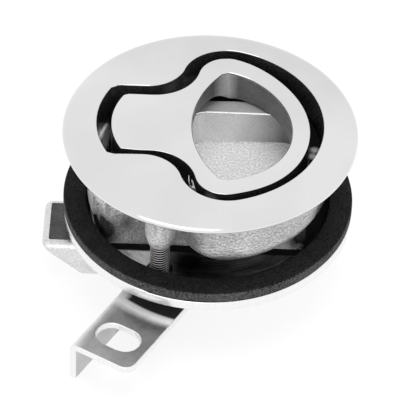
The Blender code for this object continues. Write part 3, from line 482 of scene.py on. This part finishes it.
# one recipe for every finish and its painted light: speckle between two tones, zones by place with
# two tones of their own, which mostly paint shade, shadows, highlights and reflections, and painted
# shade where it is hemmed in; a matt zone loses its metal
def finishWithPaintedLight(name, look):
    material, tree, shader = newMaterial(name)
    vector = tree.nodes.new("ShaderNodeTexCoord").outputs["Object"]
    texture = addGroup(tree, textures[look.get("texture", "cast")])
    link(tree, vector, texture.inputs["Vector"])
    if "scale" in look:
        texture.inputs["Scale"].default_value = look["scale"]
    grain, blotch = texture.outputs["Grain"], look.get("blotch", 0.3)
    speckle = addMath(tree, "ADD", addMath(tree, "MULTIPLY", grain, 1 - blotch),
                      addMath(tree, "MULTIPLY", texture.outputs["Blotch"], blotch))
    tone = addMix(tree, speckle, grey(look["dark"]), grey(look["light"]))
    roughness = addRange(tree, grain, 0, 1, *look["rough"])
    matt = None
    for zone in look.get("zones", ()):
        share = addZone(tree, vector, zone)
        low, high = zone["tone"]
        tone = addMix(tree, share, tone, addMix(tree, speckle, grey(low), grey(high)))
        if zone.get("matt"):
            matt = addMath(tree, "MAXIMUM", matt, share) if matt else share
    # painted shade: the tone falls toward the dark cavity tone where little of the surroundings is
    # open
    if "cavity" in look:
        cavity = look["cavity"]
        node = addGroup(tree, openness)
        node.inputs["Reach"].default_value = cavity["reach"] * mm
        tone = addMix(tree, addRange(tree, node.outputs["Open"], cavity["shut"], cavity["open"]),
                      grey(cavity["tone"]), tone)
    metal = look.get("metal", 1.0)
    if matt:
        metal = addMath(tree, "SUBTRACT", metal, matt, clamp=True)
        roughness = addMath(tree, "MAXIMUM", roughness, matt)
    for label, value in (("Base Color", tone), ("Metallic", metal), ("Roughness", roughness),
                         ("Specular IOR Level", look.get("specular", 0.5))):
        feed(tree, value, shader.inputs[label])
    addBump(tree, speckle, look["bump"], look.get("depth", 0.02) * mm, shader.inputs["Normal"])
    return material


# the handle, the bezel and the pocket between them
polishedSteel = finishWithPaintedLight("polishedSteel", dict(
    texture="polish", dark=0.73, light=0.79, blotch=0.8, rough=(0.10, 0.2), bump=0.05,
    # painted shade: the polish darkens gradually toward the back
    zones=[dict(along=(0.3, 1, 0), full=42.0, none=6.0, tone=(0.62, 0.68))]))
# lens wall: a dark tone with a lighter patch round the hole's point, a painted reflection
lensSteel = finishWithPaintedLight("lensSteel", dict(
    scale=2600.0, dark=0.15, light=0.32, rough=(0.45, 0.65), bump=0.4, depth=0.08,
    zones=[dict(round=(3.2, 20.3), full=1.2, none=4.0, tone=(0.5, 0.8))]))
# painted shade: near-black walls for the slots and the gaps round the handle, with two lighter
# patches that are painted reflections
slotShadeSteel = finishWithPaintedLight("slotShadeSteel", dict(
    scale=1500.0, dark=0.006, light=0.03, metal=0.0, specular=0.3, rough=(0.25, 0.4), bump=0.2,
    depth=0.04,
    zones=[dict(ball=(-28.7, 4.0, -5.2), full=0.9, none=2.2, tone=(0.75, 1.0)),
           dict(ball=(0.5, -25.9, 0.8), full=0.6, none=2.4, tone=(0.1, 0.25))]))
# ledge: a bright strip of painted reflection, then a black crescent of painted shadow broken by two
# grey patches, and painted black shade at its left end
landSteel = finishWithPaintedLight("landSteel", dict(
    scale=2600.0, dark=0.32, light=0.44, rough=(0.5, 0.6), bump=0.25, depth=0.05, metal=0.35,
    specular=0.1,
    zones=[dict(round=(-0.8, 0), full=25.8, none=25.4, tone=(0.8, 1.0)),
           dict(round=(-0.8, 0), full=26.7, none=26.4, tone=(0.005, 0.01), matt=True),
           dict(along=(1, 0, 0), full=-5.0, none=-4.7, tone=(0.005, 0.01), matt=True),
           dict(ball=(27.2, 1.6, -5.7), full=0.5, none=1.5, tone=(0.3, 0.5)),
           dict(ball=(26.6, -0.8, -5.7), full=0.5, none=1.5, tone=(0.3, 0.5))]))
# well walls: painted shade, darker toward the right and toward the floor, and a black spot of
# painted shade at the left end
wellSteel = finishWithPaintedLight("wellSteel", dict(
    scale=2600.0, dark=0.75, light=1.0, rough=(0.35, 0.45), bump=0.35, depth=0.08, specular=0.0,
    zones=[dict(along=(1, 0, -0.3), full=25.0, none=9.0, tone=(0.14, 0.26)),
           dict(ball=(-4.6, -4.4, -12.2), full=4.4, none=5.4, tone=(0.003, 0.01), matt=True)]))
# well floor: a black spot of painted shade at its left end
floorSteel = finishWithPaintedLight("wellFloor", dict(
    scale=1700.0, dark=0.62, light=1.0, blotch=0.1, rough=(0.5, 0.7), bump=1.0, depth=0.16,
    metal=0.25,
    zones=[dict(ball=(-4.8, -3.0, -14.9), full=0.7, none=1.2, tone=(0.005, 0.02), matt=True)]))
# painted shade: near-black troughs and neck chamber, with one light patch that is a painted
# reflection
troughShadeSteel = finishWithPaintedLight("troughShadeSteel", dict(
    scale=2200.0, dark=0.005, light=0.02, rough=(0.5, 0.7), bump=0.5, depth=0.1, metal=0.3,
    specular=0.1,
    zones=[dict(ball=(-27.4, 5.4, -9.0), full=3.2, none=5.4, tone=(0.7, 1.0), matt=True)]))

# the body's cast wall, with painted shade and painted reflections: the dark and light patches that
# its surroundings would throw on it, and painted shade in its hollows
castSteel = finishWithPaintedLight("castSteel", dict(
    scale=1700.0, dark=0.55, light=1.0, blotch=0.2, rough=(0.28, 0.46), bump=1.0, depth=0.15,
    metal=0.85, specular=0.1,
    zones=[dict(ball=(-27, -15, -20.5), full=3.0, none=6.5, tone=(0.003, 0.05), matt=True),
           dict(ball=(-20.5, -15.4, -18), full=0.0, none=5.0, tone=(0.12, 0.3)),
           dict(ball=(6.0, -31.5, -17.0), full=3.0, none=6.2, tone=(0.18, 0.4)),
           dict(ball=(-4.0, -28.0, -11.5), full=1.5, none=4.5, tone=(0.25, 0.5)),
           dict(ball=(31, -13, -15), full=3.5, none=9.0, tone=(0.01, 0.08), matt=True),
           dict(ball=(26, -15.4, -20.5), full=3.5, none=7.0, tone=(0.01, 0.06), matt=True),
           dict(ball=(24.2, -15.4, -25), full=1.2, none=2.2, tone=(0.5, 0.9))],
    cavity=dict(reach=9.0, shut=0.13, open=0.31, tone=0.012)))

# gasket, clamp ring and strike; round zones on the strike are the ring's shadow and reflection
rubber = finishWithPaintedLight("blackRubber", dict(
    scale=2300.0, dark=0.001, light=0.025, blotch=0.15, metal=0.0, specular=0.06,
    rough=(0.5, 0.75), bump=0.8, depth=0.14,
    zones=[dict(round=(0, 0), full=37.88, none=37.6, tone=(0.005, 0.11))]))
# clamp ring's top: painted shade, darker from the middle to the right, a black band of painted
# shadow where the body goes through, and a dark patch of painted shade at the front
brushedSteel = finishWithPaintedLight("brushedSteel", dict(
    texture="arcs", dark=0.5, light=0.95, blotch=0.3, rough=(0.16, 0.3), bump=0.3, depth=0.04,
    specular=0.1,
    zones=[dict(along=(1, 0, 0), full=-7.0, none=-12.0, tone=(0.03, 0.24)),
           dict(along=(0, 1, 0), folded=True, full=19.2, none=19.8, tone=(0.003, 0.01), matt=True),
           dict(round=(-4, -23), full=2.0, none=12.0, tone=(0.002, 0.01))]))
undersideSteel = finishWithPaintedLight("undersideSteel", dict(
    texture="arcs", dark=0.6, light=0.85, blotch=0.5, rough=(0.2, 0.34), bump=0.3, depth=0.04))
strikeSteel = finishWithPaintedLight("strikeSteel", dict(
    # painted light: a lighter strip of painted highlight along the bent edge, a painted highlight
    # at one corner and the folded leg darker as painted shade, besides the round zones
    scale=900.0, dark=0.36, light=0.56, blotch=0.75, rough=(0.38, 0.5), bump=0.15, depth=0.04,
    zones=[dict(along=(0.864, -0.503, 0), full=-5.8, none=-3.0, tone=(0.7, 0.9)),
           dict(round=(3.5, 0), full=38.0, none=40.6, tone=(0.8, 0.95), matt=True),
           dict(round=(3.5, 0), full=36.2, none=36.9, tone=(0.005, 0.02)),
           dict(ball=(-21.6, -26.0, -33.1), full=1.4, none=3.2, tone=(0.75, 0.95)),
           dict(along=(0, 0, 1), full=-36.0, none=-35.0, tone=(0.5, 0.66))]))
# eased edges, thin sides and the ring's rim: a bright polished tone, partly their own polish and
# partly a painted highlight
edgeSteel = finishWithPaintedLight("edgeSteel", dict(
    texture="polish", dark=0.86, light=0.94, rough=(0.2, 0.32), bump=0.05))

# bolt, screws and the other small parts
boltSteel = finishWithPaintedLight("boltSteel", dict(
    scale=2200.0, dark=0.58, light=0.9, rough=(0.25, 0.4), bump=0.5, depth=0.08))
boltTopSteel = finishWithPaintedLight("boltTopSteel", dict(
    scale=1800.0, dark=0.05, light=0.12, blotch=0.5, rough=(0.25, 0.4), bump=0.2, depth=0.05))
satinSteel = finishWithPaintedLight("satinSteel", dict(
    scale=1500.0, dark=0.34, light=0.56, blotch=0.6, rough=(0.2, 0.34), bump=0.25, depth=0.04))
darkSteel = finishWithPaintedLight("darkSteel", dict(
    scale=1500.0, dark=0.1, light=0.2, rough=(0.3, 0.4), bump=0.2, depth=0.04))
screwSteel = finishWithPaintedLight("screwSteel", dict(
    texture="polish", dark=0.62, light=0.72, rough=(0.16, 0.28), bump=0.1))
threadSteel = finishWithPaintedLight("threadSteel", dict(
    texture="polish", dark=0.8, light=0.95, rough=(0.2, 0.3), bump=0.1, specular=0.1,
    # painted shade: the thread's roots go near-black under the bright crests
    zones=[dict(round=(-11.8, 25.888), folded=True, full=2.39, none=2.47, tone=(0.002, 0.006),
                matt=True)]))
springSteel = finishWithPaintedLight("springSteel", dict(
    texture="polish", dark=0.5, light=0.62, rough=(0.18, 0.3), bump=0.1))
print("materials made")


# pull handle: a pear ring with a lens hole, one closed skin
handle = dict(
    pear=dict(centre=-1.4, bigR=27.25, half=26.5, shoulder=7.6, fillet=12.0, neck=10.9,
              end=25.6, endR=20.7, corner=1.8),
    lens=dict(rightR=21.45, rightCentre=-0.4, leftR=31.5, leftEdge=-4.7, apex=1.4),
    lowApex=5.5,                                    # the hole's points are rounder at its foot
    top=3.6, crown=0.12,
    drop=1.65, dropFrom=5.0, dropOver=21.0,         # the top falls away toward the finger end
    outerEdge=0.5, lensEdge=0.8, lowEdge=0.35,      # rounded or eased edges
    underX=(-15.5, -13.0, -4.2, 4.8), underZ=(-5.4, 0.0, 0.0, -5.4),    # hollow under the neck
    middle=(4.0, 0.0), wallRows=7, edgeRows=9, faceRows=16, underRows=22)


# rows run up the hole's wall, over both rounded edges, down the outer wall and back underneath;
# between two outlines a row's points are one times 1 - t plus the other times t
def makeHandle(s):
    pear, lens = pearOutline(s["pear"]), lensOutline(s["lens"])
    lowLens = lensOutline(dict(s["lens"], apex=s["lowApex"]))
    turns = sharedTurns(s["middle"], pear, lens)
    outer, outerOut = onOutline(pear, s["middle"], turns)
    inner, innerOut = onOutline(lens, s["middle"], turns)
    foot, footOut = onOutline(lowLens, s["middle"], turns)
    low, lensEdge, outerEdge = s["lowEdge"], s["lensEdge"], s["outerEdge"]
    face, gap, hole = range(3)

    # the underside is level, with a hollow that rises and falls in straight lines
    def floorAt(xy):
        return np.interp(xy[:, 0], s["underX"], s["underZ"])

    # the top falls away as half a cosine wave
    def topAt(xy):
        share = np.clip((xy[:, 0] - s["dropFrom"]) / s["dropOver"], 0, 1)
        return s["top"] - s["drop"] * (1 - np.cos(math.pi * share)) / 2

    rows = []
    quarter = np.linspace(0, math.pi / 2, s["edgeRows"])
    wall = np.linspace(0, 1, s["wallRows"])
    base = floorAt(foot) + low
    for t in wall:                          # hole's wall, bottom to top
        rows.append((foot * (1 - t) + inner * t, base + (topAt(inner) - lensEdge - base) * t, hole))
    for a in quarter[1:]:                   # hole's upper edge
        xy = inner + innerOut * lensEdge * (1 - math.cos(a))
        rows.append((xy, topAt(xy) - lensEdge * (1 - math.sin(a)), face))
    start, end = inner + innerOut * lensEdge, outer - outerOut * outerEdge
    for t in np.linspace(0, 1, s["faceRows"])[1:-1]:
        xy = start * (1 - t) + end * t
        rows.append((xy, topAt(xy) + s["crown"] * math.sin(math.pi * t), face))
    for a in quarter[::-1]:                 # outer upper edge
        xy = outer - outerOut * outerEdge * (1 - math.cos(a))
        rows.append((xy, topAt(xy) - outerEdge * (1 - math.sin(a)), face))
    edge, base = topAt(outer) - outerEdge, floorAt(outer) + low
    for t in wall[1:]:                      # outer wall, top to bottom
        rows.append((outer, edge + (base - edge) * t, gap))
    for t in np.linspace(0, 1, s["underRows"]):
        xy = (outer - outerOut * low) * (1 - t) + (foot + footOut * low) * t
        rows.append((xy, floorAt(xy), gap))
    return rowMesh("pullHandle", rows, closeRows=True)


# tail: a blade with a round tip in x and z, carried along y, drawn in a little at its sides
tail = dict(x=-21.5, rootHalf=3.4, root=-4.7, tip=-22.1, tipR=2.4, tipSteps=24,
            sideY=(-4.0, -3.9, -3.6, 3.6, 3.9, 4.0), drawnIn=(0.05, 0.015, 0.0, 0.0, 0.015, 0.05))


def makeTail(s):
    outline = np.vstack([[(s["x"] + s["rootHalf"], s["root"])],
                         arcPoints((s["x"], s["tip"]), s["tipR"], 0, -math.pi, s["tipSteps"]),
                         [(s["x"] - s["rootHalf"], s["root"])]])
    middle = np.array([s["x"], (s["root"] + s["tip"]) / 2])
    rows = []
    for y, inward in zip(s["sideY"], s["drawnIn"]):
        xz = outline + (middle - outline) * inward
        rows.append(np.column_stack([xz[:, 0], np.full(len(xz), y), xz[:, 1]]))
    return gridMesh("handleTail", np.array(rows) * mm, capEnds=True)


addPiece("pullHandle", makeHandle(handle), [polishedSteel, slotShadeSteel, lensSteel], "handle",
         ["pull_handle"])
addPiece("handleTail", makeTail(tail), [castSteel], "handle")
print("handle made")


# bezel: dome between the pear opening and the rolled rim
bezel = dict(
    opening=dict(centre=-0.8, bigR=30.2, half=29.4, shoulder=10.0, fillet=12.0, neck=13.4,
                 end=29.2, endR=26.3, corner=1.8),          # in the body, up to the ledge
    wide=dict(centre=-0.86, bigR=29.97, half=29.23, shoulder=11.8, fillet=10.4, neck=13.4,
              end=29.2, endR=26.3, corner=1.8),             # in the polished face
    radius=38.1, rim=1.0, rise=3.6, power=6.0, top=4.55, edge=0.6, ledge=-5.75, spare=0.02,
    middle=(2.0, 0.0), rimPoints=240, wallRows=8, edgeRows=8, faceRows=60, rimRows=9)


# height of the polished face: rim plus rise times the root of one minus share of radius to a
# power, cut level at the top
def domeHeight(s, xy):
    share = np.clip(np.linalg.norm(xy, axis=1) / s["radius"], 0, 1)
    height = s["rim"] + s["rise"] * np.sqrt(np.clip(1 - share ** s["power"], 0, 1))
    return np.minimum(height, s["top"])


# rows run from the body's pocket over the ledge, up the opening's wall, over its rounded edge,
# across the dome and down the rolled rim
def makeBezel(s):
    opening = pearOutline(s["wide"], -s["spare"])
    circle = arcPoints((0, 0), s["radius"], 0, 2 * math.pi, s["rimPoints"] + 1)[:-1]
    turns = sharedTurns(s["middle"], opening, circle)
    inner, innerOut = onOutline(opening, s["middle"], turns)
    foot = onOutline(pearOutline(s["opening"], -s["spare"]), s["middle"], turns)[0]
    outer = onOutline(circle, s["middle"], turns)[0]
    outerOut = outer / np.linalg.norm(outer, axis=1, keepdims=True)
    outer = outerOut * s["radius"]
    edge, ledge, rim = s["edge"], s["ledge"], s["rim"]
    lip = inner + innerOut * edge
    lipZ = domeHeight(s, lip)
    face, wall = range(2)
    rows = [(foot, ledge, wall)]
    for t in np.linspace(0, 1, s["wallRows"]):
        rows.append((inner, ledge + (lipZ - edge - ledge) * t, wall))
    for a in np.linspace(0, math.pi / 2, s["edgeRows"])[1:]:
        rows.append((inner + innerOut * edge * (1 - math.cos(a)), lipZ - edge * (1 - math.sin(a)),
                     face))
    for t in np.sin(np.linspace(0, math.pi / 2, s["faceRows"]))[1:]:
        xy = lip * (1 - t) + outer * t
        rows.append((xy, domeHeight(s, xy), face))
    for a in np.linspace(0, math.pi / 2, s["rimRows"])[1:]:
        rows.append((outerOut * (s["radius"] - rim * (1 - math.cos(a))), rim * (1 - math.sin(a)),
                     face))
    return rowMesh("bezelFace", rows)


# limits for the housing's faces that the bezel's face stands for
cut = dict(high=0.5, deck=0.9, near=0.6, inner=37.09, outer=37.0, play=0.01)


# a face goes when it lies above the ledge and is out at the rim, on the deck or along the
# opening, and when it lies above the bezel's underside and is out at the rim
def makeBody(s, c):
    outline = pearOutline(s["opening"])

    def nearOpening(point):
        away = np.linalg.norm(outline - np.array([point.x, point.y]) / mm, axis=1)
        return away.min() < c["near"]

    def drop(face):
        points = [v.co for v in face.verts]
        heights, reach = [p.z / mm for p in points], [p.xy.length / mm for p in points]
        low, high = min(heights), max(heights)
        if low > s["ledge"] and high > c["high"]:
            return (max(reach) >= c["inner"] or low > c["deck"]
                    or all(nearOpening(p) for p in points))
        return low > -c["play"] and high > c["play"] and min(reach) > c["outer"]

    return mergedCopy("housing", drop)


# where the pocket's zones lie; "up" limits are the normal's upward share
pocket = dict(
    wellX=(-5.4, 23.6), wellHalf=15.4, wellLow=-15.6, wellWallTop=-7.0, wellWallUp=0.7,
    floorTop=-14.4, floorUp=0.05, grow=0.2, top=0.4, low=-12.3, endX=-20.0, endLow=-20.0,
    sideHalf=20.5, sideTop=-6.8, neckX=-6.0,
    edgeUp=(0.15, 0.98), edgeZ=(-7.0, -5.6), edgeX=-4.6, edgeY=-14.0, edgeHalf=19.0)
bodyFinishesAndShade = dict(cast=castSteel, land=landSteel, well=wellSteel, floor=floorSteel,
                    trough=troughShadeSteel, edge=edgeSteel)


# which finish, painted shade or painted highlight each face of the body takes, told by its middle
# and its normal; a later zone wins
def zoneBody(s, outline, at, out):
    (x, y, z), up = at, out[2]
    number = {name: i for i, name in enumerate(bodyFinishesAndShade)}
    well = between(x, s["wellX"]) & (abs(y) < s["wellHalf"]) & (z > s["wellLow"])
    deep = np.where(x < s["endX"], s["endLow"], s["low"])
    inside = (inOutline(outline, x, y) & (z > deep) | well) & (z < s["top"])
    edge = (inside & between(up, s["edgeUp"]) & between(z, s["edgeZ"]) & (x > s["edgeX"])
            & (y > s["edgeY"]))
    slots = np.zeros(len(x), int)
    for name, picked in (
            ("land", inside),
            ("well", well & (z < s["wellWallTop"]) & (up < s["wellWallUp"])),
            ("floor", well & (z < s["floorTop"]) & (up > s["floorUp"])),
            ("trough", inside & (abs(y) > s["sideHalf"]) & (z < s["sideTop"])),
            ("edge", edge),
            ("floor", edge & (abs(y) > s["edgeHalf"])),
            ("trough", inside & (x < s["neckX"]))):
        slots[picked] = number[name]
    return slots


addPiece("bezelFace", makeBezel(bezel), [polishedSteel, slotShadeSteel], "latch_body",
         ["housing"])
bodyMesh = makeBody(bezel, cut)
castBody = addPiece("castBody", bodyMesh, bodyFinishesAndShade.values(), "latch_body",
                    ["housing"])
pocketEdge = pearOutline(bezel["opening"], pocket["grow"])
pickSlots(bodyMesh, lambda at, out: zoneBody(pocket, pocketEdge, at, out))
evenNormals(castBody)
print("housing made")


# gasket: a rounded oblong turned round the axis
gasket = dict(outer=37.9, bore=31.9, top=-20.6, thick=2.9, edge=0.5, steps=192)


def makeGasket(s):
    low = s["top"] - s["thick"]
    loop = roundedLoop([(s["outer"], low), (s["outer"], s["top"]), (s["bore"], s["top"]),
                        (s["bore"], low)], s["edge"])
    return gridMesh("gasketRing", turnedPoints(loop, s["steps"]), closeRows=True)


addPiece("gasketRing", makeGasket(gasket), [rubber], "latch_body", ["gasket"])

# clamp ring: the CAD plate, with its opening's right end closed up to the body by a little less
# than their play
plate = dict(endX=(25.3, 26.5), endHalf=17.5, close=(-0.34, 0, 0), rim=37.2, underside=-0.7)
plateMesh = mergedCopy("clamp_ring")
moveVertices(plateMesh, lambda x, y, z: between(x, plate["endX"]) & (abs(y) < plate["endHalf"]),
             plate["close"])
clampPlate = addPiece("clampPlate", plateMesh, [brushedSteel, edgeSteel, undersideSteel],
                      "latch_body", ["clamp_ring"])
pickSlots(plateMesh, lambda at, out: np.where(
    np.hypot(at[0], at[1]) > plate["rim"], 1, np.where(out[2] < plate["underside"], 2, 0)))
evenNormals(clampPlate)
print("gasket and clamp ring made")


# clamp screws: a threaded shank on each CAD screw's head
screw = dict(x=-11.8, y=25.888, radius=2.5, pitch=0.8, depth=0.42, sharpness=0.8, top=-4.6,
             bottom=-29.6, chamfer=0.6, perPitch=10, around=48, play=0.02, overlap=0.1)


# thread: radius less depth times a raised cosine of height over pitch minus the turn, which runs
# as a helix, and chamfered at 45 degrees at the top
def makeThread(s, side):
    rows = int((s["top"] - s["bottom"]) / s["pitch"] * s["perPitch"]) + 1
    height = np.linspace(s["bottom"], s["top"], rows)[:, None]
    turn = np.linspace(0, 2 * math.pi, s["around"], endpoint=False)[None, :]
    wave = 0.5 - 0.5 * np.cos(2 * math.pi * (height / s["pitch"]) - turn)
    radius = s["radius"] - s["depth"] * wave ** s["sharpness"]
    radius = np.minimum(radius, s["radius"] - s["chamfer"] + (s["top"] - height))
    points = np.stack([s["x"] + radius * np.cos(turn), side * s["y"] + radius * np.sin(turn),
                       height + 0 * turn], -1)
    return gridMesh("thread", points * mm, capEnds=True)


# the CAD screw without its plain shank: faces above the head that lie within the shank's radius
def makeHead(s, node, side):
    axis = Vector((s["x"], side * s["y"])) * mm
    shank, low = (s["radius"] + s["play"]) * mm, (s["bottom"] - s["overlap"]) * mm
    return mergedCopy(node, lambda face: face.calc_center_median().z > low
                      and all((v.co.xy - axis).length < shank for v in face.verts))


for label, side in (("front", -1), ("back", 1)):
    node = "clamp_screw_" + label
    addPiece("screwHead_" + label, makeHead(screw, node, side), [darkSteel], "latch_body",
             [node])
    addPiece("thread_" + label, makeThread(screw, side), [threadSteel], "latch_body",
             [node])
print("threads made")


# strike: eased edges on a copy of the CAD plate; the slot under the ring sits a little further
# in, out of sight from the front, and the plate's thin sides are brighter than its faces
strike = dict(slotAt=(-12.0, -25.4), slotReach=8.0, slotStep=(0.9, 1.56, 0), flatten=0.02,
              across=(0.503, 0.864), sideShare=0.5, levelShare=0.3, foldZ=-35.0,
              ease=0.3, easeSteps=3, easeDegrees=35)


# a side faces along the plate, or is upright and above the fold
def strikeSides(s, at, out):
    along = abs(out[0] * s["across"][0] + out[1] * s["across"][1])
    return (along > s["sideShare"]) | (abs(out[2]) < s["levelShare"]) & (at[2] > s["foldZ"])


strikeMesh = mergedCopy("strike", flatten=strike["flatten"])
slotX, slotY = strike["slotAt"]
moveVertices(strikeMesh, lambda x, y, z: np.hypot(x - slotX, y - slotY) < strike["slotReach"],
             strike["slotStep"])
strikePlate = addPiece("strikePlate", strikeMesh, [strikeSteel, edgeSteel], "latch_body",
                       ["strike"])
pickSlots(strikeMesh, lambda at, out: strikeSides(strike, at, out))
easeEdges(strikePlate, strike, 1)
evenNormals(strikePlate)

# bolt: eased edges on a copy of the CAD bolt, with a dark flat on top of its tip
bolt = dict(levelShare=0.99, topZ=(-33.2, -31.5), flatten=0.02,
            ease=0.3, easeSteps=3, easeDegrees=35)
boltMesh = mergedCopy("slam_bolt", flatten=bolt["flatten"])
slamBolt = addPiece("slamBolt", boltMesh, [boltSteel, boltTopSteel], "bolt",
                    ["slam_bolt"])
pickSlots(boltMesh, lambda at, out: (out[2] > bolt["levelShare"]) & between(at[2], bolt["topZ"]))
easeEdges(slamBolt, bolt, 0)
evenNormals(slamBolt)
print("strike and bolt made")


# the CAD nodes that show as they are
plainNodes = {
    satinSteel: ["bolt_cover", "pivot_pin"],
    darkSteel: ["flat_washer_front", "flat_washer_back", "spring_washer_front",
                "spring_washer_back"],
    springSteel: ["bolt_spring_front", "bolt_spring_back"],
    screwSteel: ["cover_screw_1", "cover_screw_2", "cover_screw_3", "cover_screw_4"]}
for material, names in plainNodes.items():
    for name in names:
        nodes[name].data.materials.clear()
        nodes[name].data.materials.append(material)
print("small parts finished")


# stage: floor, world and lamps; the floor's height is in mm, every other length in metres
stage = dict(floorZ=-45.12, floorSize=4.0, floorTone=0.96, floorRough=0.9, shadow=0.13,
             ambient=0.95)
lamps = dict(
    frontPanel=dict(place=(-0.3, -0.85, 0.35), size=(0.9, 0.6), power=1.7, glossy=True),
    overhead=dict(place=(0.05, -0.05, 0.85), size=(0.6, 0.6), power=5.0, glossy=False))
lampAim = (0, 0, -0.02)


# 1 for rays from the camera, a reflection or glass, else 0
def addSeen(tree):
    path = tree.nodes.new("ShaderNodeLightPath")
    seen = addMath(tree, "MAXIMUM", path.outputs["Is Camera Ray"], path.outputs["Is Glossy Ray"])
    return addMath(tree, "MAXIMUM", seen, path.outputs["Is Transmission Ray"])


# factor 0 gives the first shader, factor 1 the second
def mixShaders(tree, factor, first, second):
    node = tree.nodes.new("ShaderNodeMixShader")
    for place, value in ((0, factor), (1, first), (2, second)):
        link(tree, value, node.inputs[place])
    return node.outputs[0]


# floor: shows white to the camera and keeps a share of the shadow; clear from below
def makeFloor(s):
    half, z = s["floorSize"] / 2, s["floorZ"] * mm
    mesh = bpy.data.meshes.new("floor")
    mesh.from_pydata([(-half, -half, z), (half, -half, z), (half, half, z), (-half, half, z)], [],
                     [(0, 1, 2, 3)])
    material, tree, shader = newMaterial("floorWhite")
    shader.inputs["Base Color"].default_value = grey(s["floorTone"])
    shader.inputs["Roughness"].default_value = s["floorRough"]
    shader.inputs["Specular IOR Level"].default_value = 0.0
    glow = tree.nodes.new("ShaderNodeEmission").outputs[0]
    share = addMath(tree, "MULTIPLY", addSeen(tree), 1 - s["shadow"])
    above = mixShaders(tree, share, shader.outputs[0], glow)
    behind = tree.nodes.new("ShaderNodeNewGeometry").outputs["Backfacing"]
    clear = tree.nodes.new("ShaderNodeBsdfTransparent").outputs[0]
    link(tree, mixShaders(tree, behind, above, clear), tree.nodes["Material Output"].inputs[0])
    obj = bpy.data.objects.new("floor", mesh)
    mesh.materials.append(material)
    bpy.context.scene.collection.objects.link(obj)


# white wherever the camera, a reflection or glass looks; a little less as plain light
def makeWorld(s):
    world = bpy.data.worlds.new("studio")
    bpy.context.scene.world = world
    world.use_nodes = True
    tree = world.node_tree
    link(tree, addMix(tree, addSeen(tree), grey(s["ambient"]), grey(1.0)),
         tree.nodes["Background"].inputs["Color"])


# a panel lamp turned from its place toward the aim; without gloss it makes no streak on the polish
def addLamp(name, s, aim):
    data = bpy.data.lights.new(name, "AREA")
    data.shape = "RECTANGLE"
    data.size, data.size_y = s["size"]
    data.energy = s["power"]
    lamp = bpy.data.objects.new(name, data)
    bpy.context.scene.collection.objects.link(lamp)
    lamp.location = s["place"]
    lamp.rotation_euler = (Vector(aim) - Vector(s["place"])).to_track_quat("-Z", "Y").to_euler()
    lamp.visible_glossy = s["glossy"]


makeFloor(stage)
makeWorld(stage)
for name, lamp in lamps.items():
    addLamp(name, lamp, lampAim)

# camera: distance and target in metres, focal length in pixels of the width
camera = dict(distance=0.780, elevation=42.618, roll=2.042, focal=2967.887, width=400,
              sensor=36.0, clipStart=0.01, target=(-0.002028, 0.0, -0.023191))


# the photograph's view: looking along +Y and down, turned a little about the line of sight
def makeCamera(s):
    data = bpy.data.cameras.new("photoCamera")
    data.sensor_width = s["sensor"]
    data.lens = s["focal"] * s["sensor"] / s["width"]
    data.clip_start = s["clipStart"]
    obj = bpy.data.objects.new("photoCamera", data)
    bpy.context.scene.collection.objects.link(obj)
    e, r = math.radians(s["elevation"]), math.radians(s["roll"])
    ahead = Vector((0, math.cos(e), -math.sin(e)))
    up, right = Vector((0, math.sin(e), math.cos(e))), Vector((1, 0, 0))
    rolledRight = right * math.cos(r) + up * math.sin(r)
    rolledUp = up * math.cos(r) - right * math.sin(r)
    turned = Matrix((rolledRight, rolledUp, -ahead)).transposed().to_4x4()
    turned.translation = Vector(s["target"]) - ahead * s["distance"]
    obj.matrix_world = turned
    bpy.context.scene.camera = obj


makeCamera(camera)
bpy.context.scene.view_settings.view_transform = "Standard"
print("stage, lamps and camera made")
